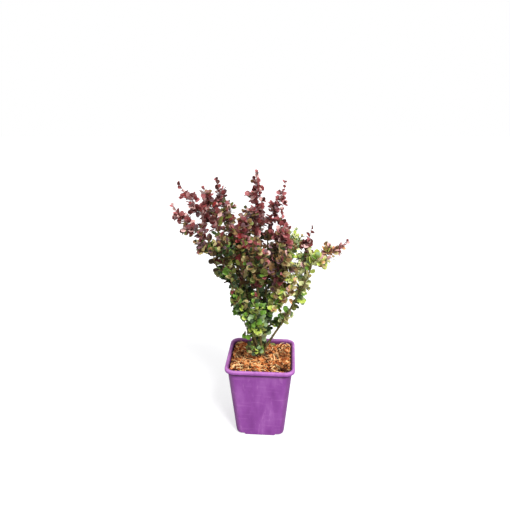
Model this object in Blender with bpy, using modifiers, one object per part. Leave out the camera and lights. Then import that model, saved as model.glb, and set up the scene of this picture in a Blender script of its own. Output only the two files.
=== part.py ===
"""Potted Japanese barberry: a bushy shrub of many thin stems in a square plastic nursery pot.

Metres, +Z up. The origin is the centre of the pot's flat underside. +X is the right of the plant
as it is seen from the front, and the front faces -Y.

The stems rise from one root collar. Side boughs leave them, and each stem or bough ends where it
enters a mass of foliage. A mass is a spray: one leading twig, side twigs round it at the golden
angle, and spoon-shaped leaves along both. It keeps to its own space, which is a spindle round the
leading twig, as far as the halfway line to the spray beside it.
"""

import math
import random

import bmesh
import bpy
from mathutils import Matrix, Vector, noise
from mathutils.bvhtree import BVHTree

# Sizes of the pot
RIM_WIDTH = 0.180
POT_HEIGHT = 0.210
BASE_WIDTH = 0.127
WALL = 0.0018
CORNER_RADIUS = 0.016
LIP_HALF_WIDTH = 0.0044
LIP_SKIRT = 0.0048
LIP_WALL = 0.0024
WALL_INTO_LIP = 0.0006
FOOT_STEP = 0.004  # the base's corners stand this far off the ground
FOOT_SHARE = 0.62  # share of each side that the foot takes up
FOOT_SETBACK = 0.0008
FOOT_OVERLAP = 0.002
DRAIN_RADIUS = 0.0045

# Levels inside the pot
GAP = 0.0003
MIX_TOP = 0.184
MULCH_TOP = 0.1965
MULCH_RELIEF = 0.0035
MULCH_CELLS = 11
MULCH_WAVES = 55

# The foot of the plant
FOOT = Vector((-0.005, 0.010, 0.0))
COLLAR_HEIGHT = 0.012
COLLAR_RADIUS = 0.0175
COLLAR_FLARE = 0.0220
STEM_RING = 0.0125
STEM_UPRIGHT = 0.12  # share of its rise that a stem starts off upright
STEM_DROP = 0.20  # how much lower a bowed stem runs, as a share of its rise
SOCKET = 0.002  # straight length at the foot of each limb and leading twig
STEM_POINTS = 9
BOUGH_POINTS = 4
LIMB_SIDES = 5
GAP_STEP = 0.0001

# Leaves and twigs
SHORT_EDGE = 0.00015  # edges shorter than this are closed up after a union
GOLDEN_ANGLE = math.radians(137.5)
LEAF_LENGTH = 0.030
LEAF_WIDTH = 0.60  # share of the length
LEAF_TIP_WIDTH = 0.50  # share of the width
LEAF_WIDEST = 0.62  # share of the length, as is the next
LEAF_THICKEST = 0.40
LEAF_THICKNESS = 0.0014
LEAF_MARGIN = 0.0005  # room kept round a leaf
LEAF_SPREAD = math.radians(50)
TIP_SPREAD = math.radians(8)
LEAF_ROLL = math.radians(60)
LEAF_TRIES = 6
LEADER_RADIUS = 0.0017
LEADER_TIP_RADIUS = 0.0012
TWIG_RADIUS = 0.0009
TWIG_TIP_RADIUS = 0.0007
STATION = 0.0155  # spacing of twigs or leaves along a leading twig
TWIG_STATION = 0.013
MIN_TWIG = 0.009
SPRAY_POINTS = 5
SPACE_SAMPLES = 8
TWIG_SPREAD = math.radians(56)
SHARE_LINE = 0.97  # how near to the halfway line a leaf may come
LIMB_CLEARANCE = 0.0008

# Stems: the bearing of each on the collar, the point where it ends, its radius at the collar and
# at its end, and how far it bows out
STEMS = {
    "stem_far_left": (224, (-0.121, -0.024, 0.526), 0.0034, 0.0018, -0.70),
    "stem_left": (188, (-0.112, 0.016, 0.548), 0.0034, 0.0018, -0.60),
    "stem_left_centre": (152, (-0.076, 0.028, 0.546), 0.0032, 0.0017, -0.30),
    "stem_centre": (None, (-0.016, 0.004, 0.538), 0.0036, 0.0020, 0.00),
    "stem_right_centre": (8, (0.016, 0.016, 0.543), 0.0032, 0.0017, -0.30),
    "stem_right": (44, (0.056, 0.024, 0.475), 0.0030, 0.0016, -0.20),
    "stem_far_right": (332, (0.111, -0.012, 0.462), 0.0034, 0.0018, 0.60),
    "stem_front": (296, (-0.005, -0.055, 0.427), 0.0032, 0.0016, 0.20),
    "stem_front_left": (260, (-0.075, -0.052, 0.473), 0.0032, 0.0016, -0.10),
    "stem_back": (116, (-0.014, 0.070, 0.460), 0.0032, 0.0017, 0.20),
    "stem_back_right": (80, (0.040, 0.062, 0.420), 0.0030, 0.0016, 0.20),
}
# Boughs: the stem that carries each, how far up it, and the point where the bough ends
BOUGHS = {
    "bough_under_left": ("stem_far_left", 0.72, (-0.113, -0.036, 0.492)),
    "bough_left_inner": ("stem_left", 0.76, (-0.102, -0.030, 0.571)),
    "bough_right_short": ("stem_right_centre", 0.62, (0.040, -0.030, 0.483)),
    "bough_right_low": ("stem_far_right", 0.74, (0.120, -0.030, 0.469)),
    "bough_front_right": ("stem_front", 0.56, (0.039, -0.050, 0.428)),
    "bough_back_left": ("stem_back", 0.55, (-0.056, 0.064, 0.440)),
    "bough_centre_left": ("stem_left_centre", 0.60, (-0.048, -0.022, 0.489)),
}
BOUGH_RADII = (0.0019, 0.0014)
# Sprays of foliage: carrier, how far up it (1 is its end), the spray's furthest tip, and its girth
SPRAYS = {
    "spray_left_low": ("stem_far_left", 1, (-0.204, -0.045, 0.626), 0.034),
    "spray_left_under": ("bough_under_left", 1, (-0.152, -0.050, 0.541), 0.030),
    "spray_left_fill": ("stem_far_left", 0.62, (-0.121, -0.005, 0.479), 0.030),
    "spray_left_high": ("stem_left", 1, (-0.202, 0.020, 0.667), 0.032),
    "spray_left_inner": ("bough_left_inner", 1, (-0.130, -0.050, 0.667), 0.030),
    "spray_left_centre": ("stem_left_centre", 1, (-0.112, 0.030, 0.676), 0.034),
    "spray_centre_left": ("bough_centre_left", 1, (-0.043, -0.016, 0.607), 0.036),
    "spray_spire": ("stem_centre", 1, (-0.010, 0.000, 0.698), 0.036),
    "spray_right_spire": ("stem_right_centre", 1, (0.058, 0.020, 0.671), 0.034),
    "spray_right_short": ("bough_right_short", 1, (0.065, -0.030, 0.576), 0.034),
    "spray_right_green": ("stem_right", 1, (0.100, 0.030, 0.535), 0.036),
    "spray_right_upright": ("stem_far_right", 0.90, (0.123, 0.004, 0.565), 0.026),
    "spray_far_right": ("stem_far_right", 1, (0.206, -0.022, 0.539), 0.030),
    "spray_right_low": ("bough_right_low", 1, (0.173, -0.036, 0.503), 0.028),
    "spray_right_under": ("stem_far_right", 0.56, (0.118, 0.002, 0.428), 0.030),
    "spray_front_left": ("stem_front_left", 1, (-0.090, -0.080, 0.560), 0.040),
    "spray_front_centre": ("stem_front", 1, (-0.003, -0.110, 0.566), 0.042),
    "spray_front_right": ("bough_front_right", 1, (0.066, -0.094, 0.529), 0.040),
    "spray_front_low": ("stem_front", 0.42, (-0.010, -0.105, 0.429), 0.036),
    "spray_front_low_left": ("stem_front_left", 0.50, (-0.069, -0.080, 0.463), 0.034),
    "spray_front_low_right": ("stem_front", 0.62, (0.087, -0.060, 0.449), 0.034),
    "spray_back_left": ("bough_back_left", 1, (-0.098, 0.118, 0.570), 0.044),
    "spray_back_centre": ("stem_back", 1, (-0.005, 0.130, 0.605), 0.044),
    "spray_back_inner": ("stem_back", 0.80, (-0.042, 0.060, 0.600), 0.036),
    "spray_back_right": ("stem_back_right", 1, (0.088, 0.112, 0.530), 0.044),
    "spray_back_low": ("stem_back", 0.38, (0.020, 0.110, 0.400), 0.038),
    "spray_back_low_left": ("stem_back", 0.50, (-0.070, 0.090, 0.430), 0.036),
    "spray_core": ("stem_centre", 0.62, (0.009, -0.040, 0.516), 0.036),
    "spray_core_low": ("stem_centre", 0.34, (0.012, -0.006, 0.382), 0.034),
    "spray_low_left": ("stem_left", 0.34, (-0.067, 0.012, 0.361), 0.032),
    "spray_low_right": ("stem_right", 0.30, (0.079, 0.002, 0.353), 0.032),
    "spray_low_front": ("stem_front_left", 0.26, (-0.042, -0.055, 0.343), 0.032),
    "spray_left_mid": ("stem_left", 0.72, (-0.099, 0.048, 0.529), 0.034),
    "spray_right_fill": ("stem_right_centre", 0.78, (0.052, -0.012, 0.612), 0.034),
    "spray_right_mid": ("stem_right", 0.66, (0.096, -0.012, 0.491), 0.032),
    "spray_foot": ("stem_front", 0.06, (-0.024, -0.036, 0.263), 0.026),
}


def clear_scene():
    for obj in list(bpy.data.objects):
        bpy.data.objects.remove(obj, do_unlink=True)


def new_collection(name):
    made = bpy.data.collections.new(name)
    bpy.context.scene.collection.children.link(made)
    return made


def new_material(name, colour, roughness):
    made = bpy.data.materials.new(name)
    made.use_nodes = True
    shader = made.node_tree.nodes["Principled BSDF"]
    shader.inputs["Base Color"].default_value = (*colour, 1)
    shader.inputs["Roughness"].default_value = roughness
    shader.inputs["Metallic"].default_value = 0
    return made


def add_object(name, data, collection, material=None):
    made = bpy.data.objects.new(name, data)
    collection.objects.link(made)
    if material:
        data.materials.clear()
        data.materials.append(material)
    return made


def mesh_from(bm, name):
    """Turns a bmesh into a mesh, with its faces pointing out."""
    bmesh.ops.recalc_face_normals(bm, faces=bm.faces)
    mesh = bpy.data.meshes.new(name)
    bm.to_mesh(mesh)
    bm.free()
    return mesh


def evaluated_mesh(obj, name):
    """The mesh that an object's curve or modifiers make, with loose caps welded."""
    bpy.context.view_layer.update()
    graph = bpy.context.evaluated_depsgraph_get()
    mesh = bpy.data.meshes.new_from_object(obj.evaluated_get(graph))
    mesh.name = name
    bm = bmesh.new()
    bm.from_mesh(mesh)
    bmesh.ops.remove_doubles(bm, verts=bm.verts, dist=1e-6)
    bmesh.ops.recalc_face_normals(bm, faces=bm.faces)
    bm.to_mesh(mesh)
    bm.free()
    return mesh


def combine(name, first, others, operation, solver="EXACT"):
    """Applies a Boolean of one mesh with several, and removes what it was made from."""
    helpers = new_collection(name + "_operands")
    base = add_object(name + "_base", first, helpers)
    operands = new_collection(name + "_others")
    for i, (mesh, matrix) in enumerate(others):
        add_object(f"{name}_{i}", mesh, operands).matrix_world = matrix
    boolean = base.modifiers.new("join", "BOOLEAN")
    boolean.operation = operation
    boolean.operand_type = "COLLECTION"
    boolean.collection = operands
    boolean.solver = solver
    made = evaluated_mesh(base, name)
    for collection in (helpers, operands):
        for obj in list(collection.objects):
            bpy.data.objects.remove(obj, do_unlink=True)
        bpy.data.collections.remove(collection)
    return made


# The pot and what fills it


def wall_half_width(z):
    """Half the pot's outer width at a height, up the straight taper of its wall."""
    top = RIM_WIDTH / 2 - LIP_HALF_WIDTH * 2 + LIP_WALL / 2 + WALL / 2
    return BASE_WIDTH / 2 + (top - BASE_WIDTH / 2) * z / (POT_HEIGHT - LIP_HALF_WIDTH)


def tapered_block(name, inset, bottom, top):
    """The pot's square tapered form with round upright corners, set in from its outer face."""
    bm = bmesh.new()
    bmesh.ops.create_cube(bm, size=2)
    for vert in bm.verts:
        z = top if vert.co.z > 0 else bottom
        half = wall_half_width(z) - inset
        vert.co = Vector((vert.co.x * half, vert.co.y * half, z))
    uprights = [e for e in bm.edges if abs(e.verts[0].co.z - e.verts[1].co.z) > 1e-6]
    bmesh.ops.bevel(
        bm,
        geom=uprights,
        offset=CORNER_RADIUS - inset,
        segments=4,
        profile=0.5,
        affect="EDGES",
    )
    return mesh_from(bm, name)


def foot_bar(name, inset, along_x):
    """One bar of the cross-shaped foot, which leaves the base's corners off the ground."""
    long_half = wall_half_width(0) - inset - FOOT_SETBACK
    short_half = FOOT_SHARE * BASE_WIDTH / 2 - inset
    top = FOOT_STEP + inset + FOOT_OVERLAP
    bm = bmesh.new()
    bmesh.ops.create_cube(bm, size=2)
    halves = (long_half, short_half) if along_x else (short_half, long_half)
    for vert in bm.verts:
        z = top if vert.co.z > 0 else inset
        vert.co = Vector((vert.co.x * halves[0], vert.co.y * halves[1], z))
    return mesh_from(bm, name)


def pot_form(name, inset, top):
    """The whole inside or outside form of the pot: its tapered block on its cross-shaped foot."""
    block = tapered_block(name + "_block", inset, FOOT_STEP + inset, top)
    bars = [foot_bar(f"{name}_bar_{i}", inset, bool(i)) for i in (0, 1)]
    return combine(name, block, [(bar, Matrix()) for bar in bars], "UNION")


def lip_section():
    """The rolled lip's cross-section, an arch with two legs, as a closed flat curve."""
    outer = [math.radians(a) for a in (0, 45, 90, 135, 180)]
    inner = [math.radians(a) for a in (180, 110, 70, 0)]
    width = LIP_HALF_WIDTH - LIP_WALL
    points = [(LIP_HALF_WIDTH * math.cos(a), LIP_HALF_WIDTH * math.sin(a)) for a in outer]
    points += [(-LIP_HALF_WIDTH, -LIP_SKIRT), (-width, -LIP_SKIRT)]
    points += [(width * math.cos(a), width * math.sin(a)) for a in inner]
    points += [(width, -LIP_SKIRT), (LIP_HALF_WIDTH, -LIP_SKIRT)]
    return section_curve("lip_section", points)


def section_curve(name, points):
    """A closed flat outline, for sweeping along a path."""
    data = bpy.data.curves.new(name, "CURVE")
    data.dimensions = "2D"
    spline = data.splines.new("POLY")
    spline.points.add(len(points) - 1)
    for point, (x, y) in zip(spline.points, points):
        point.co = (x, y, 0, 1)
    spline.use_cyclic_u = True
    made = add_object(name, data, bpy.context.scene.collection)
    made.hide_render = True
    return made


def lip_mesh():
    """The rolled lip, its section swept round a square with round corners."""
    centre = RIM_WIDTH / 2 - LIP_HALF_WIDTH
    radius = CORNER_RADIUS + LIP_HALF_WIDTH
    data = bpy.data.curves.new("lip", "CURVE")
    data.dimensions = "2D"
    spline = data.splines.new("POLY")
    turns = [(k, i) for k in range(4) for i in range(5)]
    spline.points.add(len(turns) - 1)
    for point, (k, i) in zip(spline.points, turns):
        angle = math.pi / 2 * (k + i / 4)
        middle = math.pi / 2 * k + math.pi / 4
        offset = (centre - radius) * math.sqrt(2)
        x = offset * math.cos(middle) + radius * math.cos(angle)
        y = offset * math.sin(middle) + radius * math.sin(angle)
        point.co = (x, y, 0, 1)
    spline.use_cyclic_u = True
    section = lip_section()
    data.bevel_mode = "OBJECT"
    data.bevel_object = section
    ring = add_object("lip", data, bpy.context.scene.collection)
    ring.location.z = POT_HEIGHT - LIP_HALF_WIDTH
    mesh = evaluated_mesh(ring, "lip_mesh")
    mesh.transform(Matrix.Translation(ring.location))
    for obj in (ring, section):
        bpy.data.objects.remove(obj, do_unlink=True)
    return mesh


def build_pot(collection):
    """A thin-walled moulded pot: stepped base, drain holes in its raised corners, rolled lip."""
    plastic = new_material("purple_polypropylene", (0.314, 0.090, 0.386), 0.42)
    outer = pot_form("pot_outer", 0, POT_HEIGHT - LIP_HALF_WIDTH + WALL_INTO_LIP)
    inner = pot_form("pot_inner", WALL, POT_HEIGHT + WALL)
    bm = bmesh.new()
    bmesh.ops.create_cone(
        bm, cap_ends=True, segments=12, radius1=DRAIN_RADIUS, radius2=DRAIN_RADIUS, depth=0.02
    )
    drain = mesh_from(bm, "drain")
    at = (FOOT_SHARE + 1) / 2 * BASE_WIDTH / 2
    corners = [(x, y) for x in (-at, at) for y in (-at, at)]
    cuts = [(inner, Matrix())]
    cuts += [(drain, Matrix.Translation((x, y, 0))) for x, y in corners]
    shell = combine("pot_shell", outer, cuts, "DIFFERENCE")
    mesh = combine("pot", shell, [(lip_mesh(), Matrix())], "UNION")
    add_object("pot", mesh, collection, plastic)


def build_filling(collection):
    """The potting mix that fills the pot, and the loose bark mulch on it."""
    mix = new_material("potting_mix", (0.030, 0.018, 0.010), 0.95)
    bark = new_material("shredded_bark", (0.330, 0.115, 0.035), 0.85)
    inset = WALL + GAP
    add_object("potting_mix", pot_form("mix", inset, MIX_TOP), collection, mix)
    floor = MIX_TOP + GAP
    bm = bmesh.new()
    size = RIM_WIDTH / 2
    bmesh.ops.create_grid(bm, x_segments=MULCH_CELLS, y_segments=MULCH_CELLS, size=size)
    for vert in bm.verts:
        near = min(1, max(0, ((vert.co - FOOT).length - COLLAR_FLARE * 1.3) / COLLAR_FLARE))
        vert.co.z = MULCH_TOP + MULCH_RELIEF * near * noise.noise(vert.co * MULCH_WAVES)
    grown = bmesh.ops.extrude_edge_only(bm, edges=[e for e in bm.edges if e.is_boundary])
    for item in grown["geom"]:
        if isinstance(item, bmesh.types.BMVert):
            item.co.z = floor - WALL
    bmesh.ops.holes_fill(bm, edges=[e for e in bm.edges if e.is_boundary], sides=0)
    slab = mesh_from(bm, "mulch_slab")
    block = tapered_block("mulch_block", inset, floor, MULCH_TOP + LIP_HALF_WIDTH)
    mesh = combine("bark_mulch", slab, [(block, Matrix())], "INTERSECT")
    add_object("bark_mulch", mesh, collection, bark)


# Limbs: the root collar, the stems and the side boughs


def bezier(p0, p1, p2, p3, count):
    """Evenly stepped points along a cubic Bezier curve."""
    points = []
    for i in range(count):
        t = i / (count - 1)
        s = 1 - t
        points.append(p0 * s**3 + p1 * 3 * s * s * t + p2 * 3 * s * t * t + p3 * t**3)
    return points


def along(points, share):
    """The point and direction at a share of a path's length."""
    lengths = [(b - a).length for a, b in zip(points, points[1:])]
    left = share * sum(lengths)
    for a, b, length in zip(points, points[1:], lengths):
        if left <= length:
            return a.lerp(b, left / length), (b - a).normalized()
        left -= length
    return points[-1].copy(), (points[-1] - points[-2]).normalized()


def cut_at(points, share):
    """The part of a path up to a share of its length."""
    end, _ = along(points, share)
    total = sum((b - a).length for a, b in zip(points, points[1:]))
    kept, length = [points[0]], 0
    for a, b in zip(points, points[1:]):
        length += (b - a).length
        if length > share * total:
            break
        kept.append(b)
    return [*kept, end]


def tube_curve(name, points, radii, sides):
    """A tapering tube along a path: a curve swept with a regular polygon, its ends capped."""
    turns = [2 * math.pi * i / sides for i in range(sides)]
    section = section_curve(name + "_section", [(math.cos(a), math.sin(a)) for a in turns])
    data = bpy.data.curves.new(name, "CURVE")
    data.dimensions = "3D"
    data.bevel_mode = "OBJECT"
    data.bevel_object = section
    data.use_fill_caps = True
    spline = data.splines.new("POLY")
    spline.points.add(len(points) - 1)
    for point, place, radius in zip(spline.points, points, radii):
        point.co = (*place, 1)
        point.radius = radius
    return data, section


def tube_mesh(name, points, radii, sides):
    data, section = tube_curve(name, points, radii, sides)
    obj = add_object(name + "_tube", data, bpy.context.scene.collection)
    mesh = evaluated_mesh(obj, name)
    for helper in (obj, section):
        bpy.data.objects.remove(helper, do_unlink=True)
    return mesh


def tapered(base, tip, count):
    return [base + (tip - base) * i / (count - 1) for i in range(count)]


class Shape:
    """A placed solid's surface, to test others against, with the ball that holds it."""

    def __init__(self, mesh, matrix):
        corners = [matrix @ v.co for v in mesh.vertices]
        self.middle = sum(corners, Vector()) / len(corners)
        self.radius = max((corner - self.middle).length for corner in corners)
        self.tree = BVHTree.FromPolygons(corners, [tuple(p.vertices) for p in mesh.polygons])

    def meets(self, other):
        apart = (self.middle - other.middle).length
        return apart < self.radius + other.radius and bool(self.tree.overlap(other.tree))


class Limb:
    """A stem or bough: the points it runs through and its radius at each."""

    def __init__(self, name, points, radii):
        self.name = name
        self.points = points
        self.radii = radii

    def at(self, share):
        place, direction = along(self.points, share)
        radius = self.radii[0] + (self.radii[-1] - self.radii[0]) * share
        return place, direction, radius

    def surface(self, margin):
        """The limb's surface, or one round it that leaves a margin."""
        wider = [r + margin / math.cos(math.pi / LIMB_SIDES) for r in self.radii]
        return Shape(tube_mesh(self.name + "_round", self.points, wider, LIMB_SIDES), Matrix())


def set_off(carrier, share, radius, sides, target):
    """Where a side shoot starts, a small gap from its carrier's bark or end, and its direction."""
    place, direction, thickness = carrier.at(share)
    if share == 1:
        return place + direction * GAP, direction
    towards = (target - place).normalized()
    out = (towards - direction * towards.dot(direction)).normalized()
    start = (direction * math.cos(TWIG_SPREAD) + out * math.sin(TWIG_SPREAD)).normalized()
    bark = carrier.surface(GAP)
    clear = thickness / 2
    while True:
        foot = place + out * clear
        ends = [foot, foot + start * SOCKET]
        if not Shape(tube_mesh("foot", ends, [radius] * 2, sides), Matrix()).meets(bark):
            return foot, start
        clear += GAP_STEP


def build_collar(collection, bark):
    """The knuckle at ground level that every stem rises from, flared at its foot."""
    profile = [
        (0, COLLAR_HEIGHT),
        (COLLAR_RADIUS * 0.92, COLLAR_HEIGHT),
        (COLLAR_RADIUS, COLLAR_HEIGHT * 0.8),
        (COLLAR_RADIUS * 1.04, COLLAR_HEIGHT * 0.4),
        (COLLAR_FLARE, 0),
        (0, 0),
    ]
    mesh = bpy.data.meshes.new("collar_profile")
    edges = [(i, i + 1) for i in range(len(profile) - 1)]
    mesh.from_pydata([(x, 0, z) for x, z in profile], edges, [])
    collar = add_object("root_collar", mesh, collection, bark)
    collar.location = FOOT + Vector((0, 0, MULCH_TOP + GAP))
    screw = collar.modifiers.new("turn", "SCREW")
    screw.steps = screw.render_steps = 14
    screw.use_merge_vertices = True
    screw.merge_threshold = 1e-5
    screw.use_normal_calculate = True
    screw.use_normal_flip = True


def build_stems(collection, bark):
    """The stems, in a ring on the collar, each arching out to the spray that it ends in."""
    top = MULCH_TOP + COLLAR_HEIGHT + GAP * 2
    limbs = {}
    for name, (bearing, end, thick, thin, bow) in STEMS.items():
        end = Vector(end)
        start = FOOT.copy()
        if bearing is not None:
            turn = math.radians(bearing)
            start += Vector((math.cos(turn), math.sin(turn), 0)) * STEM_RING
        start.z = top + SOCKET
        rise = end.z - start.z
        across = Vector((end.x - start.x, end.y - start.y, 0))
        first = start + Vector((0, 0, rise * STEM_UPRIGHT))
        last = start + across * (2 + bow) / 3
        last.z = start.z + rise * (2 / 3 - STEM_DROP * bow)
        points = bezier(start, first, last, end, STEM_POINTS - 1)
        points.insert(0, start - Vector((0, 0, SOCKET)))
        limbs[name] = Limb(name, points, tapered(thick, thin, STEM_POINTS))
    for name, (carrier, share, end) in BOUGHS.items():
        end = Vector(end)
        start, direction = set_off(limbs[carrier], share, BOUGH_RADII[0], LIMB_SIDES, end)
        reach = (end - start).length
        first = start + direction * SOCKET
        last = end - Vector((0, 0, reach * 0.30))
        points = bezier(first, first + direction * reach * 0.35, last, end, BOUGH_POINTS)
        points.insert(0, start)
        limbs[name] = Limb(name, points, tapered(*BOUGH_RADII, BOUGH_POINTS + 1))
    for limb in limbs.values():
        mesh = tube_mesh(limb.name, limb.points, limb.radii, LIMB_SIDES)
        add_object(limb.name, mesh, collection, bark)
    return limbs


# Sprays of foliage


def spindle(t):
    """How wide a spray's space is along its length, as a share of its girth."""
    return 0.42 + 0.58 * math.sin(math.pi * min(1, max(0, t)) ** 0.8)


class Spray:
    """A spray's centreline, from the limb that carries it to its furthest tip, and its space."""

    def __init__(self, name, carrier, share, tip, girth):
        tip = Vector(tip)
        start, direction = set_off(carrier, share, LEADER_RADIUS, 3, tip)
        reach = (tip - start).length
        self.name = name
        self.girth = girth
        self.length = reach
        first = start + direction * SOCKET
        last = tip - (tip - start).normalized() * reach * 0.2 - Vector((0, 0, reach * 0.2))
        self.points = bezier(first, first + direction * reach * 0.35, last, tip, SPRAY_POINTS)
        self.points.insert(0, start)
        self.random = random.Random(name)

    def samples(self):
        shares = [i / SPACE_SAMPLES for i in range(SPACE_SAMPLES + 1)]
        return [(along(self.points, t)[0], self.girth * spindle(t)) for t in shares]


def space_share(point, samples):
    """How far out a point is in a spray's space: 0 on its centreline, 1 at the edge."""
    return min((point - place).length / width for place, width in samples)


def leaf_body(margin=0.0):
    """A spoon-shaped leaf one unit long, of eight faces: flat below and ridged above.

    A margin makes it that much larger all round, to test for room with."""
    edge = margin / LEAF_LENGTH
    width = LEAF_WIDTH / 2 + edge
    blunt = width * LEAF_TIP_WIDTH
    top = LEAF_THICKNESS / LEAF_LENGTH + edge
    bm = bmesh.new()
    for place in (
        (0, 0, -edge),
        (width, LEAF_WIDEST, -edge),
        (blunt, 1 + edge, -edge),
        (-blunt, 1 + edge, -edge),
        (-width, LEAF_WIDEST, -edge),
        (0, LEAF_THICKEST, top),
    ):
        bm.verts.new(place)
    bmesh.ops.convex_hull(bm, input=bm.verts)
    bmesh.ops.triangulate(bm, faces=bm.faces)
    return mesh_from(bm, "leaf")


def placed(foot, axis, face, size):
    """The matrix that stands a unit leaf on its foot, along its axis, with its face up."""
    side = axis.cross(face).normalized()
    face = side.cross(axis)
    turn = Matrix((side, axis, face)).transposed()
    return Matrix.Translation(foot) @ turn.to_4x4() @ Matrix.Scale(size, 4)


def twig_matrix(start, end, radius):
    """The matrix that lays a unit twig from one point to another."""
    run = end - start
    turn = run.to_track_quat("Z", "Y").to_matrix().to_4x4()
    scale = Matrix.Diagonal((radius, radius, run.length, 1))
    return Matrix.Translation(start) @ turn @ scale


def round_about(direction, angle):
    """A direction square to another, turned about it from the one nearest the front."""
    flat = Vector((0, -1, 0)) - direction * direction.dot(Vector((0, -1, 0)))
    return Matrix.Rotation(angle, 3, direction) @ flat.normalized()


class Grower:
    """Grows one spray's twigs, then its leaves, and skips each that has no room."""

    def __init__(self, spray, spaces, limbs):
        self.spray = spray
        self.space = spaces[spray.name]
        self.others = [space for name, space in spaces.items() if name != spray.name]
        self.limbs = limbs
        self.pieces = []
        self.grown = []
        self.feet = []

    def in_space(self, point, stray=1.0):
        """Whether a point is in the spray's space and nearer to it than to the others."""
        own = space_share(point, self.space)
        if own > stray:
            return False
        return all(space_share(point, other) * SHARE_LINE >= own / stray for other in self.others)

    def add_side_twig(self, twig, start, direction, length, size, neighbours):
        """A straight side twig, with leaves to stand on alternate sides and one at its end."""
        end = start + direction * length
        matrix = twig_matrix(start, end, TWIG_RADIUS)
        shape = Shape(twig, matrix)
        if not self.in_space(end) or any(shape.meets(s) for s in (*self.limbs, *neighbours)):
            return False
        self.pieces.append((twig, matrix))
        self.grown.append(shape)
        turn = self.spray.random.uniform(0, math.tau)
        count = max(1, round(length / TWIG_STATION))
        for i in range(count):
            place = start.lerp(end, (i + 0.9) / (count + 0.2))
            out = round_about(direction, turn + i * GOLDEN_ANGLE)
            self.feet.append((shape, place, direction, out, size, LEAF_SPREAD))
        out = round_about(direction, turn + count * GOLDEN_ANGLE)
        self.feet.append((shape, end - direction * TWIG_RADIUS, direction, out, size, TIP_SPREAD))
        return True

    def grow_twigs(self, twig, neighbours):
        """Walks up the leading twig, with a side twig wherever the space is wide enough."""
        spray = self.spray
        bare = 1 - LEAF_LENGTH * 0.8 / spray.length
        stations = max(4, round(spray.length * bare / STATION))
        turn = spray.random.uniform(0, math.tau)
        leader = cut_at(spray.points, bare)
        radii = tapered(LEADER_RADIUS, LEADER_TIP_RADIUS, len(leader))
        self.leader = tube_mesh(spray.name + "_leader", leader, radii, 3)
        shape = Shape(self.leader, Matrix())
        self.grown.append(shape)
        for i in range(stations):
            t = bare * (i + 0.6) / stations
            place, direction = along(spray.points, t)
            out = round_about(direction, turn + i * GOLDEN_ANGLE)
            size = LEAF_LENGTH * (1.08 - 0.45 * t)
            room = spray.girth * spindle(t) - size * 0.6
            grown = False
            if room > MIN_TWIG:
                away = direction * math.cos(TWIG_SPREAD) + out * math.sin(TWIG_SPREAD)
                grown = self.add_side_twig(twig, place, away.normalized(), room, size, neighbours)
            if not grown:
                self.feet.append((shape, place, direction, out, size, LEAF_SPREAD))
            self.feet.append((shape, place, direction, -out, size, LEAF_SPREAD))
        place, direction = along(spray.points, bare)
        out = round_about(direction, turn)
        tip = place - direction * LEADER_TIP_RADIUS
        self.feet.append((shape, tip, direction, out, LEAF_LENGTH * 0.8, TIP_SPREAD))

    def grow_leaves(self, leaf, room_leaf, neighbours):
        """Tries each leaf a few ways round, a little smaller each time, until one has room."""
        rng = self.spray.random
        for carrier, foot, direction, out, size, spread in self.feet:
            own = [shape for shape in self.grown if shape is not carrier]
            for attempt in range(LEAF_TRIES):
                lean = spread + rng.uniform(-0.15, 0.15) * (1 + attempt)
                turn = rng.uniform(-0.4, 0.4) * attempt
                side = Matrix.Rotation(turn, 3, direction) @ out
                axis = (direction * math.cos(lean) + side * math.sin(lean)).normalized()
                roll = Matrix.Rotation(rng.uniform(-LEAF_ROLL, LEAF_ROLL), 3, axis)
                face = roll @ (direction * math.sin(lean) - side * math.cos(lean))
                matrix = placed(foot, axis, face, size * (1 - 0.06 * attempt))
                room = Shape(room_leaf, matrix)
                if not self.in_space(room.middle) or not self.in_space(foot + axis * size, 1.15):
                    continue
                if any(room.meets(shape) for shape in (*self.limbs, *neighbours, *own)):
                    continue
                self.pieces.append((leaf, matrix))
                self.grown.append(Shape(leaf, matrix))
                break


def close_short_edges(bm):
    """Merges the ends of each very short edge, where the surface stays closed."""
    for edge in sorted(bm.edges, key=lambda e: e.calc_length()):
        if not edge.is_valid or edge.calc_length() > SHORT_EDGE:
            continue
        a, b = edge.verts
        near_a = {e.other_vert(a) for e in a.link_edges}
        near_b = {e.other_vert(b) for e in b.link_edges}
        if len(near_a & near_b) == 2:
            bmesh.ops.pointmerge(bm, verts=[a, b], merge_co=a.co)


def largest_shell(bm):
    """Keeps the largest shell: a sealed hollow is filled, and a loose scrap goes."""
    left = set(bm.faces)
    shells = []
    while left:
        shell, edge = set(), [left.pop()]
        while edge:
            face = edge.pop()
            shell.add(face)
            for near in (f for e in face.edges for f in e.link_faces if f in left):
                left.discard(near)
                edge.append(near)
        shells.append(shell)
    shells.sort(key=len)
    for shell in shells[:-1]:
        bmesh.ops.delete(bm, geom=list(shell), context="FACES")


def main_body(mesh):
    """Cuts a joined spray down to its main body and says whether its surface is closed."""
    bm = bmesh.new()
    bm.from_mesh(mesh)
    largest_shell(bm)
    bmesh.ops.dissolve_limit(bm, angle_limit=math.radians(0.5), verts=bm.verts, edges=bm.edges)
    bmesh.ops.triangulate(bm, faces=bm.faces)
    close_short_edges(bm)
    closed = all(edge.is_manifold for edge in bm.edges)
    bm.to_mesh(mesh)
    bm.free()
    return closed


def joined(name, leader, pieces):
    """One closed solid of a leading twig with its side twigs and leaves.

    Where the union of all of them does not close, one leaf at a time is left out of it."""
    for left_out in (None, *reversed(range(len(pieces)))):
        kept = [piece for i, piece in enumerate(pieces) if i != left_out]
        mesh = combine(name, leader.copy(), kept, "UNION")
        if main_body(mesh):
            return mesh
    raise ValueError(f"{name} does not close")


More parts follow.
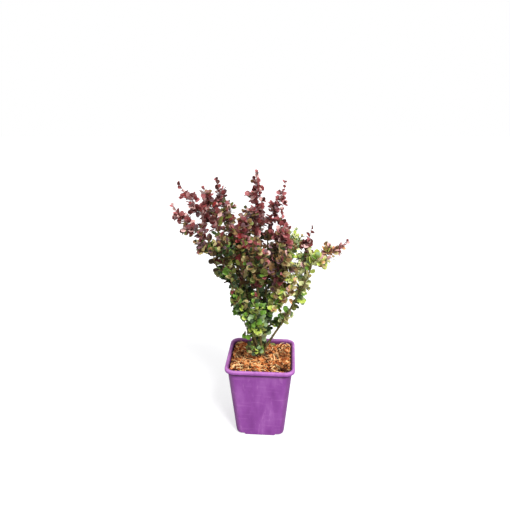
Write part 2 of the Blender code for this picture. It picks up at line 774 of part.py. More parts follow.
def build_sprays(collection, limbs):
    """Every spray, its twigs and leaves joined into one solid."""
    foliage = new_material("barberry_leaf", (0.155, 0.032, 0.042), 0.45)
    sprays = [Spray(n, limbs[c], at, tip, girth) for n, (c, at, tip, girth) in SPRAYS.items()]
    spaces = {spray.name: spray.samples() for spray in sprays}
    clear = [limb.surface(LIMB_CLEARANCE) for limb in limbs.values()]
    bm = bmesh.new()
    bmesh.ops.create_cone(
        bm, cap_ends=True, segments=3, radius1=1, radius2=TWIG_TIP_RADIUS / TWIG_RADIUS, depth=1
    )
    bmesh.ops.translate(bm, verts=bm.verts, vec=(0, 0, 0.5))
    twig = mesh_from(bm, "twig")
    leaf = leaf_body()
    room_leaf = leaf_body(LEAF_MARGIN)
    growers = [Grower(spray, spaces, clear) for spray in sprays]

    def neighbours(grower):
        return [shape for other in growers if other is not grower for shape in other.grown]

    for grower in growers:
        grower.grow_twigs(twig, neighbours(grower))
    for grower in growers:
        grower.grow_leaves(leaf, room_leaf, neighbours(grower))
    for grower in growers:
        name = grower.spray.name
        mesh = joined(name, grower.leader, grower.pieces)
        add_object(name, mesh, collection, foliage)


def main():
    clear_scene()
    collection = new_collection("potted_barberry")
    bark = new_material("barberry_bark", (0.240, 0.130, 0.055), 0.80)
    build_pot(collection)
    build_filling(collection)
    build_collar(collection, bark)
    limbs = build_stems(collection, bark)
    build_sprays(collection, limbs)


main()
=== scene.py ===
import math
import random

import bpy
import numpy as np
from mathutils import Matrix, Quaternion, Vector


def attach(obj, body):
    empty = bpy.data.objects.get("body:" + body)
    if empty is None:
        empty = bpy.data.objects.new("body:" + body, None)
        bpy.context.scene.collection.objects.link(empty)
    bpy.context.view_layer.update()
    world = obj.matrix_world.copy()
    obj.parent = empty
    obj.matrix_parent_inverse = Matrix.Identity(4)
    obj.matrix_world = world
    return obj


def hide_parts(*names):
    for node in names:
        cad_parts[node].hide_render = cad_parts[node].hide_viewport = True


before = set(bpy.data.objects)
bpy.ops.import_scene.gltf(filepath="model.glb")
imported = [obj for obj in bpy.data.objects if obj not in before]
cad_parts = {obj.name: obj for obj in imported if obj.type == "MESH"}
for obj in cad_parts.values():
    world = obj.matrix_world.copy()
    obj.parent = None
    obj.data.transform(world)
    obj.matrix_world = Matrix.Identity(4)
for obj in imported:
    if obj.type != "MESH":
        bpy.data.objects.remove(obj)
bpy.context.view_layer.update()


# The pot
# A square nursery pot, injection moulded in purple polypropylene: a thin tapered wall with a rolled
# lip round its mouth, and a base whose corners stand up off the ground round four drain holes.

POT_HEIGHT = 0.210
RIM_HALF = 0.090
BASE_HALF = 0.0635
WALL = 0.0018
CORNER_RADIUS = 0.016
LIP_RADIUS = 0.0044
LIP_CENTRE = RIM_HALF - LIP_RADIUS
LIP_LEVEL = 0.2056  # the height of its centre
LIP_FOOT = 0.2008
LIP_OVERLAP = 0.0021  # how far the wall's outside stands past the lip's inner edge
HOLLOW_RADIUS = 0.0020  # under the rolled lip
BASE_EDGE = 0.0024
FOOT_STEP = 0.004
FOOT_SHARE = 0.62  # how far out the base's raised corners start
DRAIN_RADIUS = 0.0045
GAP = 0.0003  # between solids
UP = np.array([0, 0, 1.0])


def wall_half_width(z):
    """Half the pot's outer width at a height: a straight taper from its base to under its lip."""
    top = LIP_CENTRE - LIP_RADIUS + LIP_OVERLAP
    return BASE_HALF + (top - BASE_HALF) * z / (POT_HEIGHT - LIP_RADIUS)


def smooth_step(x):
    """0 below 0, 1 above 1, and 3x^2 - 2x^3 between."""
    x = np.clip(x, 0, 1)
    return x * x * (3 - 2 * x)


def rounded_square(half, corner, side_points, corner_points):
    """Rings round a square with round corners, as x and y, both rings by points.

    A quarter is a straight run, (half, s), and an arc of the corner's radius about the corner's own
    centre. It is turned by 0, 90, 180 and 270 degrees."""
    half, corner = half[:, None], corner[:, None]
    straight = half - corner
    run = np.linspace(-1, 1, side_points)
    arc = np.linspace(0, math.pi / 2, corner_points + 2)[1:-1]
    x = np.hstack([half + 0 * run, straight + corner * np.cos(arc)])
    y = np.hstack([straight * run, straight + corner * np.sin(arc)])
    return np.hstack([x, -y, -x, y]), np.hstack([y, x, -y, -x])


def in_rows(first, rings, last):
    """The points of closed shells, a row for each: its first pole, its rings and its last pole."""
    return np.concatenate([first[:, None], rings.reshape(len(rings), -1, 3), last[:, None]], axis=1)


def shell_triangles(rings, points):
    """The triangles of one such shell: two for each cell of its grid, which wraps round, and a fan
    at each pole, facing out where points run anticlockwise as seen from the last pole."""
    grid = 1 + np.arange(rings * points).reshape(rings, points)
    after = np.roll(grid, -1, axis=1)
    a, b, c, d = grid[:-1], after[:-1], after[1:], grid[1:]
    first = 0 * grid[0], after[0], grid[0]
    last = 0 * grid[0] + 1 + rings * points, grid[-1], after[-1]
    faces = [np.stack(three, -1).reshape(-1, 3) for three in ((a, b, c), (a, c, d), first, last)]
    return np.concatenate(faces)


def add_mesh(name, shape, grain, materials, face_slots=None, sharp=45):
    """A mesh object of equal closed shells, smooth but for edges sharper than an angle.

    shape is their first poles, rings (shells x rings x points x 3) and last poles, and grain is the
    same of places along the stuff's own grain, for its materials."""
    vertices = in_rows(*shape)
    count, each = vertices.shape[:2]
    triangles = shell_triangles(*shape[1].shape[1:3])
    corners = triangles + each * np.arange(count)[:, None, None]
    mesh = bpy.data.meshes.new(name)
    mesh.from_pydata(vertices.reshape(-1, 3), [], corners.reshape(-1, 3))
    for material in materials:
        mesh.materials.append(material)
    if face_slots is not None:
        mesh.polygons.foreach_set("material_index", np.tile(face_slots, count).astype(np.int32))
    mesh.shade_smooth()
    mesh.set_sharp_from_angle(angle=math.radians(sharp))
    if grain is not None:
        layer = mesh.attributes.new("grain", "FLOAT_VECTOR", "POINT")
        layer.data.foreach_set("vector", in_rows(*grain).ravel())
    return add_object(name, mesh)


def add_object(name, data):
    """An object of a mesh, lamp or camera, in the scene."""
    made = bpy.data.objects.new(name, data)
    bpy.context.scene.collection.objects.link(made)
    return made


def finish_piece(piece, slot, *nodes):
    """The piece rides with the pot and plant and stands for nodes, which are hidden. slot is not
    used.
    """
    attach(piece, "root")
    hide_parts(*nodes)


def linear(code):
    """An sRGB hex colour as linear red, green, blue and alpha."""
    parts = (int(code[i:i + 2], 16) / 255 for i in (1, 3, 5))
    return *(p / 12.92 if p <= 0.04045 else ((p + 0.055) / 1.055) ** 2.4 for p in parts), 1


def set_inputs(node, *values, **named):
    """Sets a node's inputs in order or by name, with _ for a space. A socket is linked instead."""
    for name, value in [*enumerate(values), *named.items()]:
        socket = node.inputs[name if isinstance(name, int) else name.replace("_", " ")]
        if isinstance(value, bpy.types.NodeSocket):
            node.id_data.links.new(value, socket)
        else:
            socket.default_value = value


def add_node(owner, kind, *values, take=0, **named):
    """Adds a node to a material, or beside a socket's own node. Names in small letters are its
    settings, and the others its inputs. Returns the output to take."""
    node = getattr(owner, "node_tree", owner.id_data).nodes.new("ShaderNode" + kind)
    for name in [name for name in named if name.islower()]:
        setattr(node, name, named.pop(name))
    set_inputs(node, *values, **named)
    return node.outputs[take]


def new_material(name, **inputs):
    """A material, and its Principled shader with these inputs."""
    material = bpy.data.materials.new(name)
    material.use_nodes = True
    shader = material.node_tree.nodes["Principled BSDF"]
    set_inputs(shader, **inputs)
    return material, shader


def noise(place, scale, detail, roughness=0.5, stretch=None):
    """Noise from 0 to 1 at a place, whose coordinates may be scaled first, each by its own."""
    if stretch:
        place = add_node(place, "Mapping", Vector=place, Scale=stretch)
    return add_node(place, "TexNoise", Vector=place, Scale=scale, Detail=detail, Roughness=roughness)


def ramp(value, *stops):
    """The colour of a value on a ramp of stops, each a place and an sRGB hex colour."""
    colour = add_node(value, "ValToRGB", value)
    elements = colour.node.color_ramp.elements
    while len(elements) < len(stops):
        elements.new(0.5)
    for element, (place, code) in zip(elements, stops):
        element.position = place
        element.color = linear(code)
    return colour


def fit(value, low, high, least, most, **settings):
    """A value with low to high fitted to least to most, and held between them."""
    return add_node(value, "MapRange", value, low, high, least, most, **settings)


def reckon(operation, *values):
    """A value worked out from others."""
    return add_node(values[0], "Math", *values, operation=operation)


def laid_over(share, colour, code):
    """A colour with a share of an sRGB hex colour laid over it."""
    return add_node(
        share, "Mix", data_type="RGBA", Factor=share, A=colour, B=linear(code), take="Result"
    )


# Each part of the pot's section, from the middle of its underside to the middle of its floor
edge_turn = np.linspace(-math.pi / 2, 0, 6)
lip_turn = np.linspace(0, math.pi, 13)
hollow_turn = np.linspace(math.pi, 0, 6)
wall_rise = np.concatenate([
    np.linspace(BASE_EDGE, 0.189, 28)[1:],
    [0.1908, 0.1926, 0.1942, 0.1956, 0.1968, 0.1978, 0.1990, LIP_FOOT - 0.0005],
])
hollow_level = LIP_LEVEL - 0.0020
floor_reach = np.linspace(BASE_HALF - WALL - 0.0008, 0.003, 22)
parts = [
    (np.linspace(0.003, BASE_HALF - BASE_EDGE, 22)[:-1], np.zeros(21)),
    (BASE_HALF + BASE_EDGE * (np.cos(edge_turn) - 1), BASE_EDGE * (1 + np.sin(edge_turn))),
    (wall_half_width(wall_rise), wall_rise),
    (
        LIP_CENTRE + HOLLOW_RADIUS * np.cos(hollow_turn),
        hollow_level + HOLLOW_RADIUS * np.sin(hollow_turn),
    ),
    ([0.0878, 0.0884, 0.0892, 0.0898], LIP_FOOT + np.array([0.0004, 0, 0, 0.0005])),
    (LIP_CENTRE + LIP_RADIUS * np.cos(lip_turn), LIP_LEVEL + LIP_RADIUS * np.sin(lip_turn)),
    ([0.0812, 0.0813], [0.2030, 0.2008]),
    (wall_half_width(wall_rise[::-3]) - WALL, wall_rise[::-3]),
    (floor_reach, WALL + 0 * floor_reach),
]
half, height = np.concatenate(parts, axis=1)
on_lip = (height > 0.2000) & (half > wall_half_width(height) - WALL - 0.0005)
corner = CORNER_RADIUS + half - wall_half_width(height)
corner = np.where(on_lip, CORNER_RADIUS + LIP_RADIUS + half - LIP_CENTRE, corner)
corner = np.clip(corner, 0.25 * half, 0.9 * half)
x, y = rounded_square(half, corner, 47, 9)
z = height[:, None] + 0 * x
# The base's corners are stepped up, and the step runs out up the first of the wall
step_start = FOOT_SHARE * BASE_HALF - 0.001
step = FOOT_STEP * smooth_step((np.minimum(abs(x), abs(y)) - step_start) / 0.003)
z = z + step * (1 - smooth_step((height[:, None] - WALL) / 0.014))
pot_shape = (0 * UP[None], np.stack([x, y, z], -1)[None], WALL * UP[None])

# Polypropylene with a purple masterbatch, moulded against a fine matt tool: a waxy half-gloss, faint
# flow clouds, chalky scuffs from handling, specks of dried splashes on the wall, and a painted
# highlight along the lip's top, laid on as more of the pale scuffs
plastic, shader = new_material(
    "purple_moulded_polypropylene", IOR=1.49, Metallic=0, Specular_IOR_Level=0.22
)
place = add_node(plastic, "TexCoord", take="Object")
clouds = noise(place, 28, 4, 0.55, (1, 1, 0.35))
purple = ramp(clouds, (0.30, "#75357F"), (0.50, "#83418D"), (0.72, "#95579E"))
rubs = noise(place, 55, 7, 0.72, (1, 1, 0.22))
drags = noise(place, 60, 3, 0.6, (0.25, 0.25, 1.6))
splashes = add_node(plastic, "TexVoronoi", Vector=place, Scale=130, Randomness=1)
# Painted highlight: the lip's top is paler from 202 mm up, in the rubs' patches
lip = fit(add_node(plastic, "SeparateXYZ", place, take="Z"), 0.2020, 0.2098, 0, 0.85)
wear_and_lip_highlight = fit(rubs, 0.57, 0.78, 0, 0.46)
for mark in (
    fit(drags, 0.54, 0.76, 0, 0.14),
    fit(splashes, 0.07, 0.03, 0, 0.4),
    reckon("MULTIPLY", lip, rubs),
):
    wear_and_lip_highlight = reckon("MAXIMUM", wear_and_lip_highlight, mark)
# Painted shade under the lip and on the round corners, and the darkening inside the wall, are laid
# over in dark purple-brown
shade_and_darkening = add_node(plastic, "Attribute", attribute_name="shade_and_darkening", take="Fac")
set_inputs(
    shader,
    Base_Color=laid_over(shade_and_darkening, laid_over(wear_and_lip_highlight, purple, "#D08FD2"), "#3C1A26"),
    Roughness=fit(wear_and_lip_highlight, 0, 0.5, 0.40, 0.62),
    Normal=add_node(plastic, "Bump", 0.12, 0.0002, Height=noise(place, 900, 2)),
)

solid_pot = add_mesh("pot_solid", pot_shape, None, [plastic])
turn = np.arange(24) * math.tau / 24
circle = np.stack([np.cos(turn), np.sin(turn), 0 * turn], -1) * DRAIN_RADIUS
apart = (FOOT_SHARE + 1) / 2 * BASE_HALF
drains = np.array([[x, y, 0] for x in (-apart, apart) for y in (-apart, apart)])
ends = drains + np.array([-0.003, 0.0085])[:, None, None] * UP
posts = np.stack(ends, 1)[:, :, None] + circle
cutter = add_mesh("drains", (ends[0], posts, ends[1]), None, [])
cut = solid_pot.modifiers.new("drain_holes", "BOOLEAN")
cut.operation = "DIFFERENCE"
cut.solver = "EXACT"
cut.object = cutter
graph = bpy.context.evaluated_depsgraph_get()
moulding = bpy.data.meshes.new_from_object(solid_pot.evaluated_get(graph))
# Darker on the inside of the wall, most just above the mulch; a painted shadow under the lip, where
# the lip's shade falls; and painted shade on the round corners, which turn away from the light
at, out = np.zeros((2, len(moulding.vertices), 3), np.float32)
moulding.vertices.foreach_get("co", at.ravel())
moulding.vertices.foreach_get("normal", out.ravel())
height = at[:, 2]
inside = (height > 0.15) & ((at * out)[:, :2].sum(1) < 0)
inner_darkening = inside * (0.85 - 0.6 * smooth_step((height - 0.196) / 0.011))
lip_shadow = 0.92 * (1 - smooth_step((LIP_FOOT - height - 0.002) / 0.0115))
across, deep = np.sort(abs(at[:, :2]), axis=1).T
corner_shade = 0.24 * smooth_step((across / np.maximum(deep, 0.001) - 0.78) / 0.16)
point_shade_and_darkening = np.maximum(inner_darkening, ~inside * (height < LIP_FOOT + 0.0002) * lip_shadow)
point_shade_and_darkening = np.maximum(point_shade_and_darkening, ~inside * (height < LIP_FOOT) * corner_shade)
moulding.attributes.new("shade_and_darkening", "FLOAT", "POINT").data.foreach_set("value", point_shade_and_darkening)
pot_body = add_object("pot_body", moulding)
for helper in (solid_pot, cutter):
    bpy.data.objects.remove(helper, do_unlink=True)
finish_piece(pot_body, "pot", "pot")


# The potting mix
# Composted bark and peat that fills the pot to just below the mulch. It keeps the CAD's own solid,
# because only dark dots of it show, through the drain holes.


def grained_material(name, pattern, stops, relief=None, stretch=None, **inputs):
    """A material whose colour and relief follow one noise, which a stretch draws out along the
    stuff's grain. pattern is its scale, detail and roughness, and relief the bump's strength and
    depth. Returns the material, its shader and the colour."""
    material, shader = new_material(name, **inputs)
    if stretch:
        grain = add_node(material, "Attribute", attribute_name="grain", take="Vector")
        value = noise(grain, *pattern, (1, 1, stretch))
    else:
        value = noise(add_node(material, "TexCoord", take="Object"), *pattern)
    colour = ramp(value, *stops)
    set_inputs(shader, Base_Color=colour)
    if relief:
        bump = add_node(material, "Bump", *relief, Height=value)
        set_inputs(shader, Normal=bump)
    return material, shader, colour


peat_tones = [(0.3, "#17100B"), (0.55, "#2E1F15"), (0.8, "#4B3524")]
peat = grained_material(
    "composted_bark_peat", (420, 6, 0.7), peat_tones, (0.9, 0.0012), Roughness=0.95, IOR=1.4
)[0]
for material_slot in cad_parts["potting_mix"].material_slots:
    material_slot.material = peat


# The bark mulch
# A dressing of shredded pine bark over the mix: a bed of dark crumbs and broken fibre, and loose
# shreds lying on it every way, torn along the grain and curled where they dried.

MIX_TOP = 0.184
MULCH_TOP = 0.1965
FOOT = np.array([-0.005, 0.010, 0])  # the middle of the plant's foot
COLLAR_RADIUS = 0.0175
COLLAR_FLARE = 0.0220
BED_RELIEF = 0.0042
BANK = 0.0125  # how high the mulch is heaped against the collar
PIT = -0.42  # below this relief the bed is a pit, where few shreds lie
WALL_CLEARANCE = 0.0010
# How many shreds of each kind there are at first, their greatest width, and their tones
SHREDS = dict(
    orange=(1300, 0.0028, "#AE5C2C", "#DA8C4E", "#F0B87C"),
    rust=(1000, 0.0028, "#703010", "#AC5626", "#D07C44"),
    cream=(1050, 0.0014, "#DCA264", "#F2C98E", "#FAE2B4"),
    dark=(700, 0.0034, "#1C0A04", "#3A1A0B", "#5E3118"),
)


def lumps(x, y, size, seed):
    """Rolling relief: ten sine waves of about a size, each with a bearing and start of its own."""
    rng = np.random.default_rng(seed)
    bearing = rng.uniform(0, math.tau, 10)
    length = size * rng.uniform(0.6, 1.7, 10)
    start = rng.uniform(0, math.tau, 10)
    across = x[..., None] * np.cos(bearing) + y[..., None] * np.sin(bearing)
    return np.sin(across * math.tau / length + start).sum(-1) / 4.5


def rolling(x, y):
    """The bed's larger relief, without its crumbs."""
    return lumps(x, y, 0.030, 1) + 0.55 * lumps(x, y, 0.011, 2)


def from_foot(x, y):
    """How far a place is from the middle of the plant's foot."""
    return np.hypot(x - FOOT[0], y - FOOT[1])


def bed_height(x, y):
    """The bed's surface: rolling lumps and crumbs, heaped up a little against the root collar."""
    apart = from_foot(x, y)
    near = smooth_step((apart - COLLAR_FLARE) / 0.02)
    relief = rolling(x, y) + 0.25 * lumps(x, y, 0.005, 3)
    bank = BANK * np.exp(-((apart / 0.030) ** 2))
    return MULCH_TOP - 0.0015 + BED_RELIEF * (0.25 + 0.75 * near) * relief / 1.4 + bank


inner_half = wall_half_width(MULCH_TOP) - WALL - GAP
reach = np.concatenate([np.linspace(0.25, 1.0, 5), np.linspace(1, 0.02, 44)])
x, y = rounded_square(inner_half * reach, (CORNER_RADIUS - WALL) * reach, 44, 6)
rings = np.stack([x, y, bed_height(x, y)], -1)[None]
# The first five rings are the bed's underside, narrowed to the pot's width on the mix
rings[0, :5, :, :2] *= (wall_half_width(MIX_TOP) - WALL - GAP) / inner_half
rings[0, :5, :, 2] = MIX_TOP + GAP
first, last = UP[None] * (MIX_TOP + GAP), UP[None] * bed_height(np.zeros(1), np.zeros(1))

# Rotted pine bark: crumbs a few millimetres across, almost black in the gaps and rust on top
crumbled_bark = grained_material(
    "crumbled_pine_bark",
    (330, 6, 0.75),
    [(0.36, "#150B06"), (0.5, "#3A1E0F"), (0.62, "#6E3A1A"), (0.78, "#9C6233")],
    (1.0, 0.002),
    Roughness=0.92,
    IOR=1.4,
    Specular_IOR_Level=0.15,
)[0]
mulch_bed = add_mesh("mulch_bed", (first, rings, last), None, [crumbled_bark])
finish_piece(mulch_bed, "bark_mulch", "bark_mulch")


def unit(vectors):
    """Vectors of the same directions, one unit long."""
    return vectors / np.linalg.norm(vectors, axis=-1, keepdims=True)


def swung(one, other, angle):
    """A direction swung from one towards another, square to it, by an angle."""
    return one * np.cos(angle) + other * np.sin(angle)


def capped(grain):
    """Grain with a pole in the middle of each end ring, as first poles, rings and last poles."""
    return grain[:, 0].mean(1), grain, grain[:, -1].mean(1)


def torn_strips(rng, count, widest):
    """The shape and grain of torn strips lying on the bed.

    A strip is a four-sided section, centre + width cos a across + thickness sin a up, carried along
    an arc of its own bend, length and tilt. The section thins towards both ends."""
    each = (count, 1)
    length = 0.006 + 0.028 * rng.beta(1.5, 2.4, each)
    width = np.clip(length * rng.uniform(0.04, 0.20, each), 0.0006, widest)
    thick = rng.uniform(0.0003, 0.0007, each)
    heading = rng.uniform(0, math.tau, each)
    bend = rng.normal(0, 0.5, each)
    tilt = rng.normal(0, 0.20, each)
    middle = rng.uniform(-inner_half, inner_half, (count, 2))
    s = np.linspace(-0.5, 0.5, 5)
    turned = heading + bend * s
    step = np.stack([np.cos(turned), np.sin(turned)], -1) * length[..., None]
    path = middle[:, None] + step * s[:, None]
    # A strip that would cross the wall lies against it instead
    edge = inner_half - WALL_CLEARANCE - 1.2 * width
    over = np.maximum(path.max(1) - edge, 0) + np.minimum(path.min(1) + edge, 0)
    path = path - over[:, None]
    middle = middle - over
    lift = rng.uniform(0, 0.0034, each)
    arch = rng.normal(0, 0.10, each) * (1 - 4 * s * s) * length
    z = bed_height(*middle.T)[:, None] + lift + np.tan(tilt) * s * length + arch
    z = np.maximum(z, bed_height(path[..., 0], path[..., 1]) + 0.0002)
    path = np.concatenate([path, z[..., None]], -1)
    along = unit(np.gradient(path, axis=1))
    flat = unit(np.cross(UP, along))
    across = swung(flat, np.cross(along, flat), rng.normal(0, 0.45, (count, 1, 1)))
    taper = np.array([0.25, 0.85, 1.0, 0.8, 0.3]) * rng.uniform(0.8, 1.2, (count, 5))
    turn = np.arange(4) * math.tau / 4
    wide = (width * taper)[..., None] * np.cos(turn)
    deep = (thick * taper**0.5)[..., None] * np.sin(turn)
    rings = path[:, :, None] + across[:, :, None] * wide[..., None]
    rings = rings + np.cross(along, across)[:, :, None] * deep[..., None]
    grain = np.stack([wide, deep, 0 * wide + (s * length)[..., None]], -1)
    grain[..., 0] += rng.uniform(0, 9, (count, 1, 1))
    # Those in the pot's round corners, under the collar or in most of the pits are left out
    corner = CORNER_RADIUS - WALL
    past = np.maximum(np.abs(rings[..., :2]) - (inner_half - corner), 0)
    inside = np.hypot(past[..., 0], past[..., 1]).max((1, 2)) < corner - WALL_CLEARANCE * 0.6
    apart = from_foot(rings[..., 0], rings[..., 1]).min((1, 2))
    in_pit = (rolling(*middle.T) < PIT) & (rng.random(count) < 0.85)
    kept = inside & (apart > COLLAR_RADIUS * 0.72) & ~in_pit
    shape = path[:, 0] - along[:, 0] * 0.0004, rings, path[:, -1] + along[:, -1] * 0.0004
    return [part[kept] for part in shape], [part[kept] for part in capped(grain)]


# Pine bark and splinters of its pale inner wood, shredded: fibres half a millimetre apart run
# along each shred, the colour goes from the split face to its weathered skin, and some lie damp
for number, (kind, (count, widest, *tones)) in enumerate(SHREDS.items()):
    fibre, shader, tone = grained_material(
        f"shredded_bark_{kind}",
        (1100, 3, 0.6),
        zip((0.28, 0.5, 0.72), tones),
        (0.6, 0.0004),
        0.12,
        Roughness=0.82,
        IOR=1.45,
        Specular_IOR_Level=0.2,
    )
    patches = noise(add_node(fibre, "TexCoord", take="Object"), 42, 2)
    damp = fit(patches, 0.52, 0.64, 0, 0.60)
    set_inputs(shader, Base_Color=laid_over(damp, tone, "#2A1409"))
    strips = torn_strips(np.random.default_rng(20 + number), count, widest)
    shreds = add_mesh(f"mulch_shreds_{kind}", *strips, [fibre])
    finish_piece(shreds, "bark_mulch", "bark_mulch")


# The root collar
# The knuckle of wood at ground level that all the stems rise from, swollen and cracked where each
# of them leaves it.

COLLAR_HEIGHT = 0.012
COLLAR_SIDES = 72
STEM_RING = 0.0125
BEARINGS = np.radians(np.arange(8, 360, 36))  # of the stems round it

levels = np.array([0, 0, 0.15, 0.35, 0.6, 0.8, 0.93, 1, 1])[:, None]
widths = np.array([0.5, 1, 0.93, 0.86, 0.82, 0.80, 0.74, 0.62, 0.3])[:, None] * COLLAR_FLARE
turn = np.arange(COLLAR_SIDES) * math.tau / COLLAR_SIDES
# Each stem has a lobe: its bearing's cosine, sharpened
lobes = np.cos(turn[:, None] - BEARINGS).max(-1) ** 8
radius = widths * (1 + 0.05 * lobes + 0.02 * np.sin(9 * turn) + 0.015 * np.sin(23 * turn + 1))
around = np.stack([radius * np.cos(turn), radius * np.sin(turn), 0 * radius], -1)
collar_foot = FOOT + UP * (MULCH_TOP + GAP)
rings = collar_foot + around + UP * (COLLAR_HEIGHT * levels)[..., None]
collar_shape = collar_foot[None], rings[None], (collar_foot + UP * COLLAR_HEIGHT)[None]


def bark_material(name, stops):
    """Barberry bark: thin, with lengthwise cracks about a millimetre apart, dark in their depths
    and paler on the ridges between."""
    pattern, relief, stretch = (800, 5, 0.65), (0.7, 0.0005), 0.10
    look = {"Roughness": 0.78, "IOR": 1.45, "Specular_IOR_Level": 0.3}
    return grained_material(name, pattern, stops, relief, stretch, **look)[0]


# The collar's bark is darkened almost to black-brown, partly a soil stain and partly painted shade
# under the crown, and the stems' is olive and tan
soil_and_shade_bark = bark_material(
    "soil_stained_and_shaded_bark", [(0.3, "#140B06"), (0.5, "#33200F"), (0.66, "#55371E"), (0.8, "#7A522F")]
)
old_bark = bark_material(
    "barberry_bark", [(0.3, "#2E2415"), (0.46, "#5F5230"), (0.62, "#827243"), (0.8, "#A6935F")]
)
root_collar = add_mesh("root_collar_bark", collar_shape, collar_shape, [soil_and_shade_bark])
finish_piece(root_collar, "bark", "root_collar")


# The stems
# Eleven thin stems in a ring on the collar, each arching out under its own weight to the spray that
# it ends in. Their bark is ridged, and swells at the nodes where leaves once stood.

SOCKET = 0.002
STEM_UPRIGHT = 0.12
STEM_DROP = 0.20
NODE_SPACING = 0.017
GOLDEN_ANGLE = math.radians(137.5)
# The bearing of each on the collar, where it ends and its radius at foot and end, in mm, and its bow
STEMS = dict(
    far_left=(224, -121, -24, 526, 3.4, 1.8, -0.7),
    left=(188, -112, 16, 548, 3.4, 1.8, -0.6),
    left_centre=(152, -76, 28, 546, 3.2, 1.7, -0.3),
    centre=(None, -16, 4, 538, 3.6, 2.0, 0),
    right_centre=(8, 16, 16, 543, 3.2, 1.7, -0.3),
    right=(44, 56, 24, 475, 3.0, 1.6, -0.2),
    far_right=(332, 111, -12, 462, 3.4, 1.8, 0.6),
    front=(296, -5, -55, 427, 3.2, 1.6, 0.2),
    front_left=(260, -75, -52, 473, 3.2, 1.6, -0.1),
    back=(116, -14, 70, 460, 3.2, 1.7, 0.2),
    back_right=(80, 40, 62, 420, 3.0, 1.6, 0.2),
)


def bezier(p0, p1, p2, p3, count):
    """A cubic Bezier curve: p0 s^3 + 3 p1 s^2 t + 3 p2 s t^2 + p3 t^3, where s = 1 - t."""
    t = np.linspace(0, 1, count)[:, None]
    s = 1 - t
    return p0 * s**3 + 3 * p1 * s * s * t + 3 * p2 * s * t * t + p3 * t**3


def distances(paths):
    """How far along its path each point lies."""
    lengths = np.linalg.norm(np.diff(paths, axis=-2), axis=-1)
    return np.insert(np.cumsum(lengths, axis=-1), 0, 0, axis=-1)


def along(path, shares):
    """Places and directions at shares of a path's length."""
    steps = np.diff(path, axis=0)
    distance = distances(path)
    wanted = np.clip(shares, 0, 1) * distance[-1]
    i = np.clip(np.searchsorted(distance, wanted, side="right") - 1, 0, len(steps) - 1)
    part = (wanted - distance[i]) / np.linalg.norm(steps[i], axis=-1)
    return path[i] + steps[i] * part[..., None], unit(steps[i])


def tubes(paths, radii, sides, reference, stagger=0.37):
    """The shape and grain of closed tubes. paths is tubes x rings x 3, and radii x sides or x 1.

    Each ring stands square to its path: centre + radius (side cos a + up sin a), where side is the
    reference made square to the path. Grain is (radius cos a, radius sin a, distance along)."""
    heading = unit(np.gradient(paths, axis=1))
    reference = reference[:, None]
    side = unit(reference - heading * (reference * heading).sum(-1, keepdims=True))
    up = np.cross(heading, side)
    turn = np.arange(sides) * math.tau / sides
    out = swung(side[:, :, None], up[:, :, None], turn[:, None])
    rings = paths[:, :, None] + out * radii[..., None]
    distance = (distances(paths) + stagger * np.arange(len(paths))[:, None])[..., None]
    grain = np.stack([radii * np.cos(turn), radii * np.sin(turn), distance + 0 * radii * turn], -1)
    return (paths[:, 0], rings, paths[:, -1]), capped(grain)


def bark_relief(distance, sides, seed):
    """A limb's radius beside its plain one, as rings by sides: 1, plus ridges cos(ka + start) that
    wander as they climb, plus a swelling exp(-(d / 1.6 mm)^2) on one side, d from each node."""
    rng = np.random.default_rng(seed)
    turn = np.arange(sides) * math.tau / sides
    rise = distance[:, None]
    relief = 1 + 0 * rise * turn
    for waves, depth, wander in ((3, 0.045, 0.05), (5, 0.04, 0.03), (7, 0.03, 0.02)):
        start = rng.uniform(0, math.tau) + 1.2 * np.sin(rise / wander + rng.uniform(0, math.tau))
        relief = relief + depth * np.cos(waves * turn + start)
    from_node = (rise + NODE_SPACING / 2) % NODE_SPACING - NODE_SPACING / 2
    facing = 0.5 + 0.5 * np.cos(turn - np.round(rise / NODE_SPACING) * GOLDEN_ANGLE)
    return relief + 0.30 * np.exp(-((from_node / 0.0016) ** 2)) * facing**2


def limb_tubes(names, sides, flare):
    """The tubes of some limbs, with bark relief, and with feet that flare into what bears them."""
    paths, radii = (np.array([limbs[name][k] for name in names]) for k in (0, 1))
    rise = distances(paths)
    relief = np.array([bark_relief(path, sides, 40 + number) for number, path in enumerate(rise)])
    swollen = radii * (1 + flare * np.exp(-rise / 0.005))
    across = unit(np.cross(paths[:, -1] - paths[:, 0], UP))
    return tubes(paths, swollen[..., None] * relief, sides, across, stagger=0)


limbs = {}  # each limb's path and radii
for name, (bearing, *row, bow) in STEMS.items():
    *end, thick, thin = np.array(row) / 1000
    end = np.array(end)
    start = collar_foot + UP * (COLLAR_HEIGHT + GAP + SOCKET)
    if bearing is not None:
        bearing = math.radians(bearing)
        start += STEM_RING * np.array([math.cos(bearing), math.sin(bearing), 0])
    rise = end[2] - start[2]
    last = start + (end - start) * (2 + bow) / 3
    last[2] = start[2] + rise * (2 / 3 - STEM_DROP * bow)
    below = start - UP * np.linspace(0.008, 0.001, 5)[:, None]
    path = np.concatenate([below, bezier(start, start + UP * rise * STEM_UPRIGHT, last, end, 84)])
    limbs[name] = path, np.concatenate([[thick] * 5, np.linspace(thick, thin, 84)])

stems = add_mesh("stems_bark", *limb_tubes(STEMS, 14, 0.20), [old_bark], sharp=80)
finish_piece(stems, "bark", *["stem_" + name for name in STEMS])


# The side boughs
# Seven boughs of the stems' own ridged wood, which fork off them part of the way up, grown out of
# their bark, and carry the sprays between theirs.

TWIG_SPREAD = math.radians(56)
BOUGH_RADII = (0.0019, 0.0014)
# The stem that carries each, how far up it, and where the bough ends, in mm
BOUGHS = dict(
    under_left=("far_left", 0.72, -113, -36, 492),
    left_inner=("left", 0.76, -102, -30, 571),
    right_short=("right_centre", 0.62, 40, -30, 483),
    right_low=("far_right", 0.74, 120, -30, 469),
    front_right=("front", 0.56, 39, -50, 428),
    back_left=("back", 0.55, -56, 64, 440),
    centre_left=("left_centre", 0.60, -48, -22, 489),
)


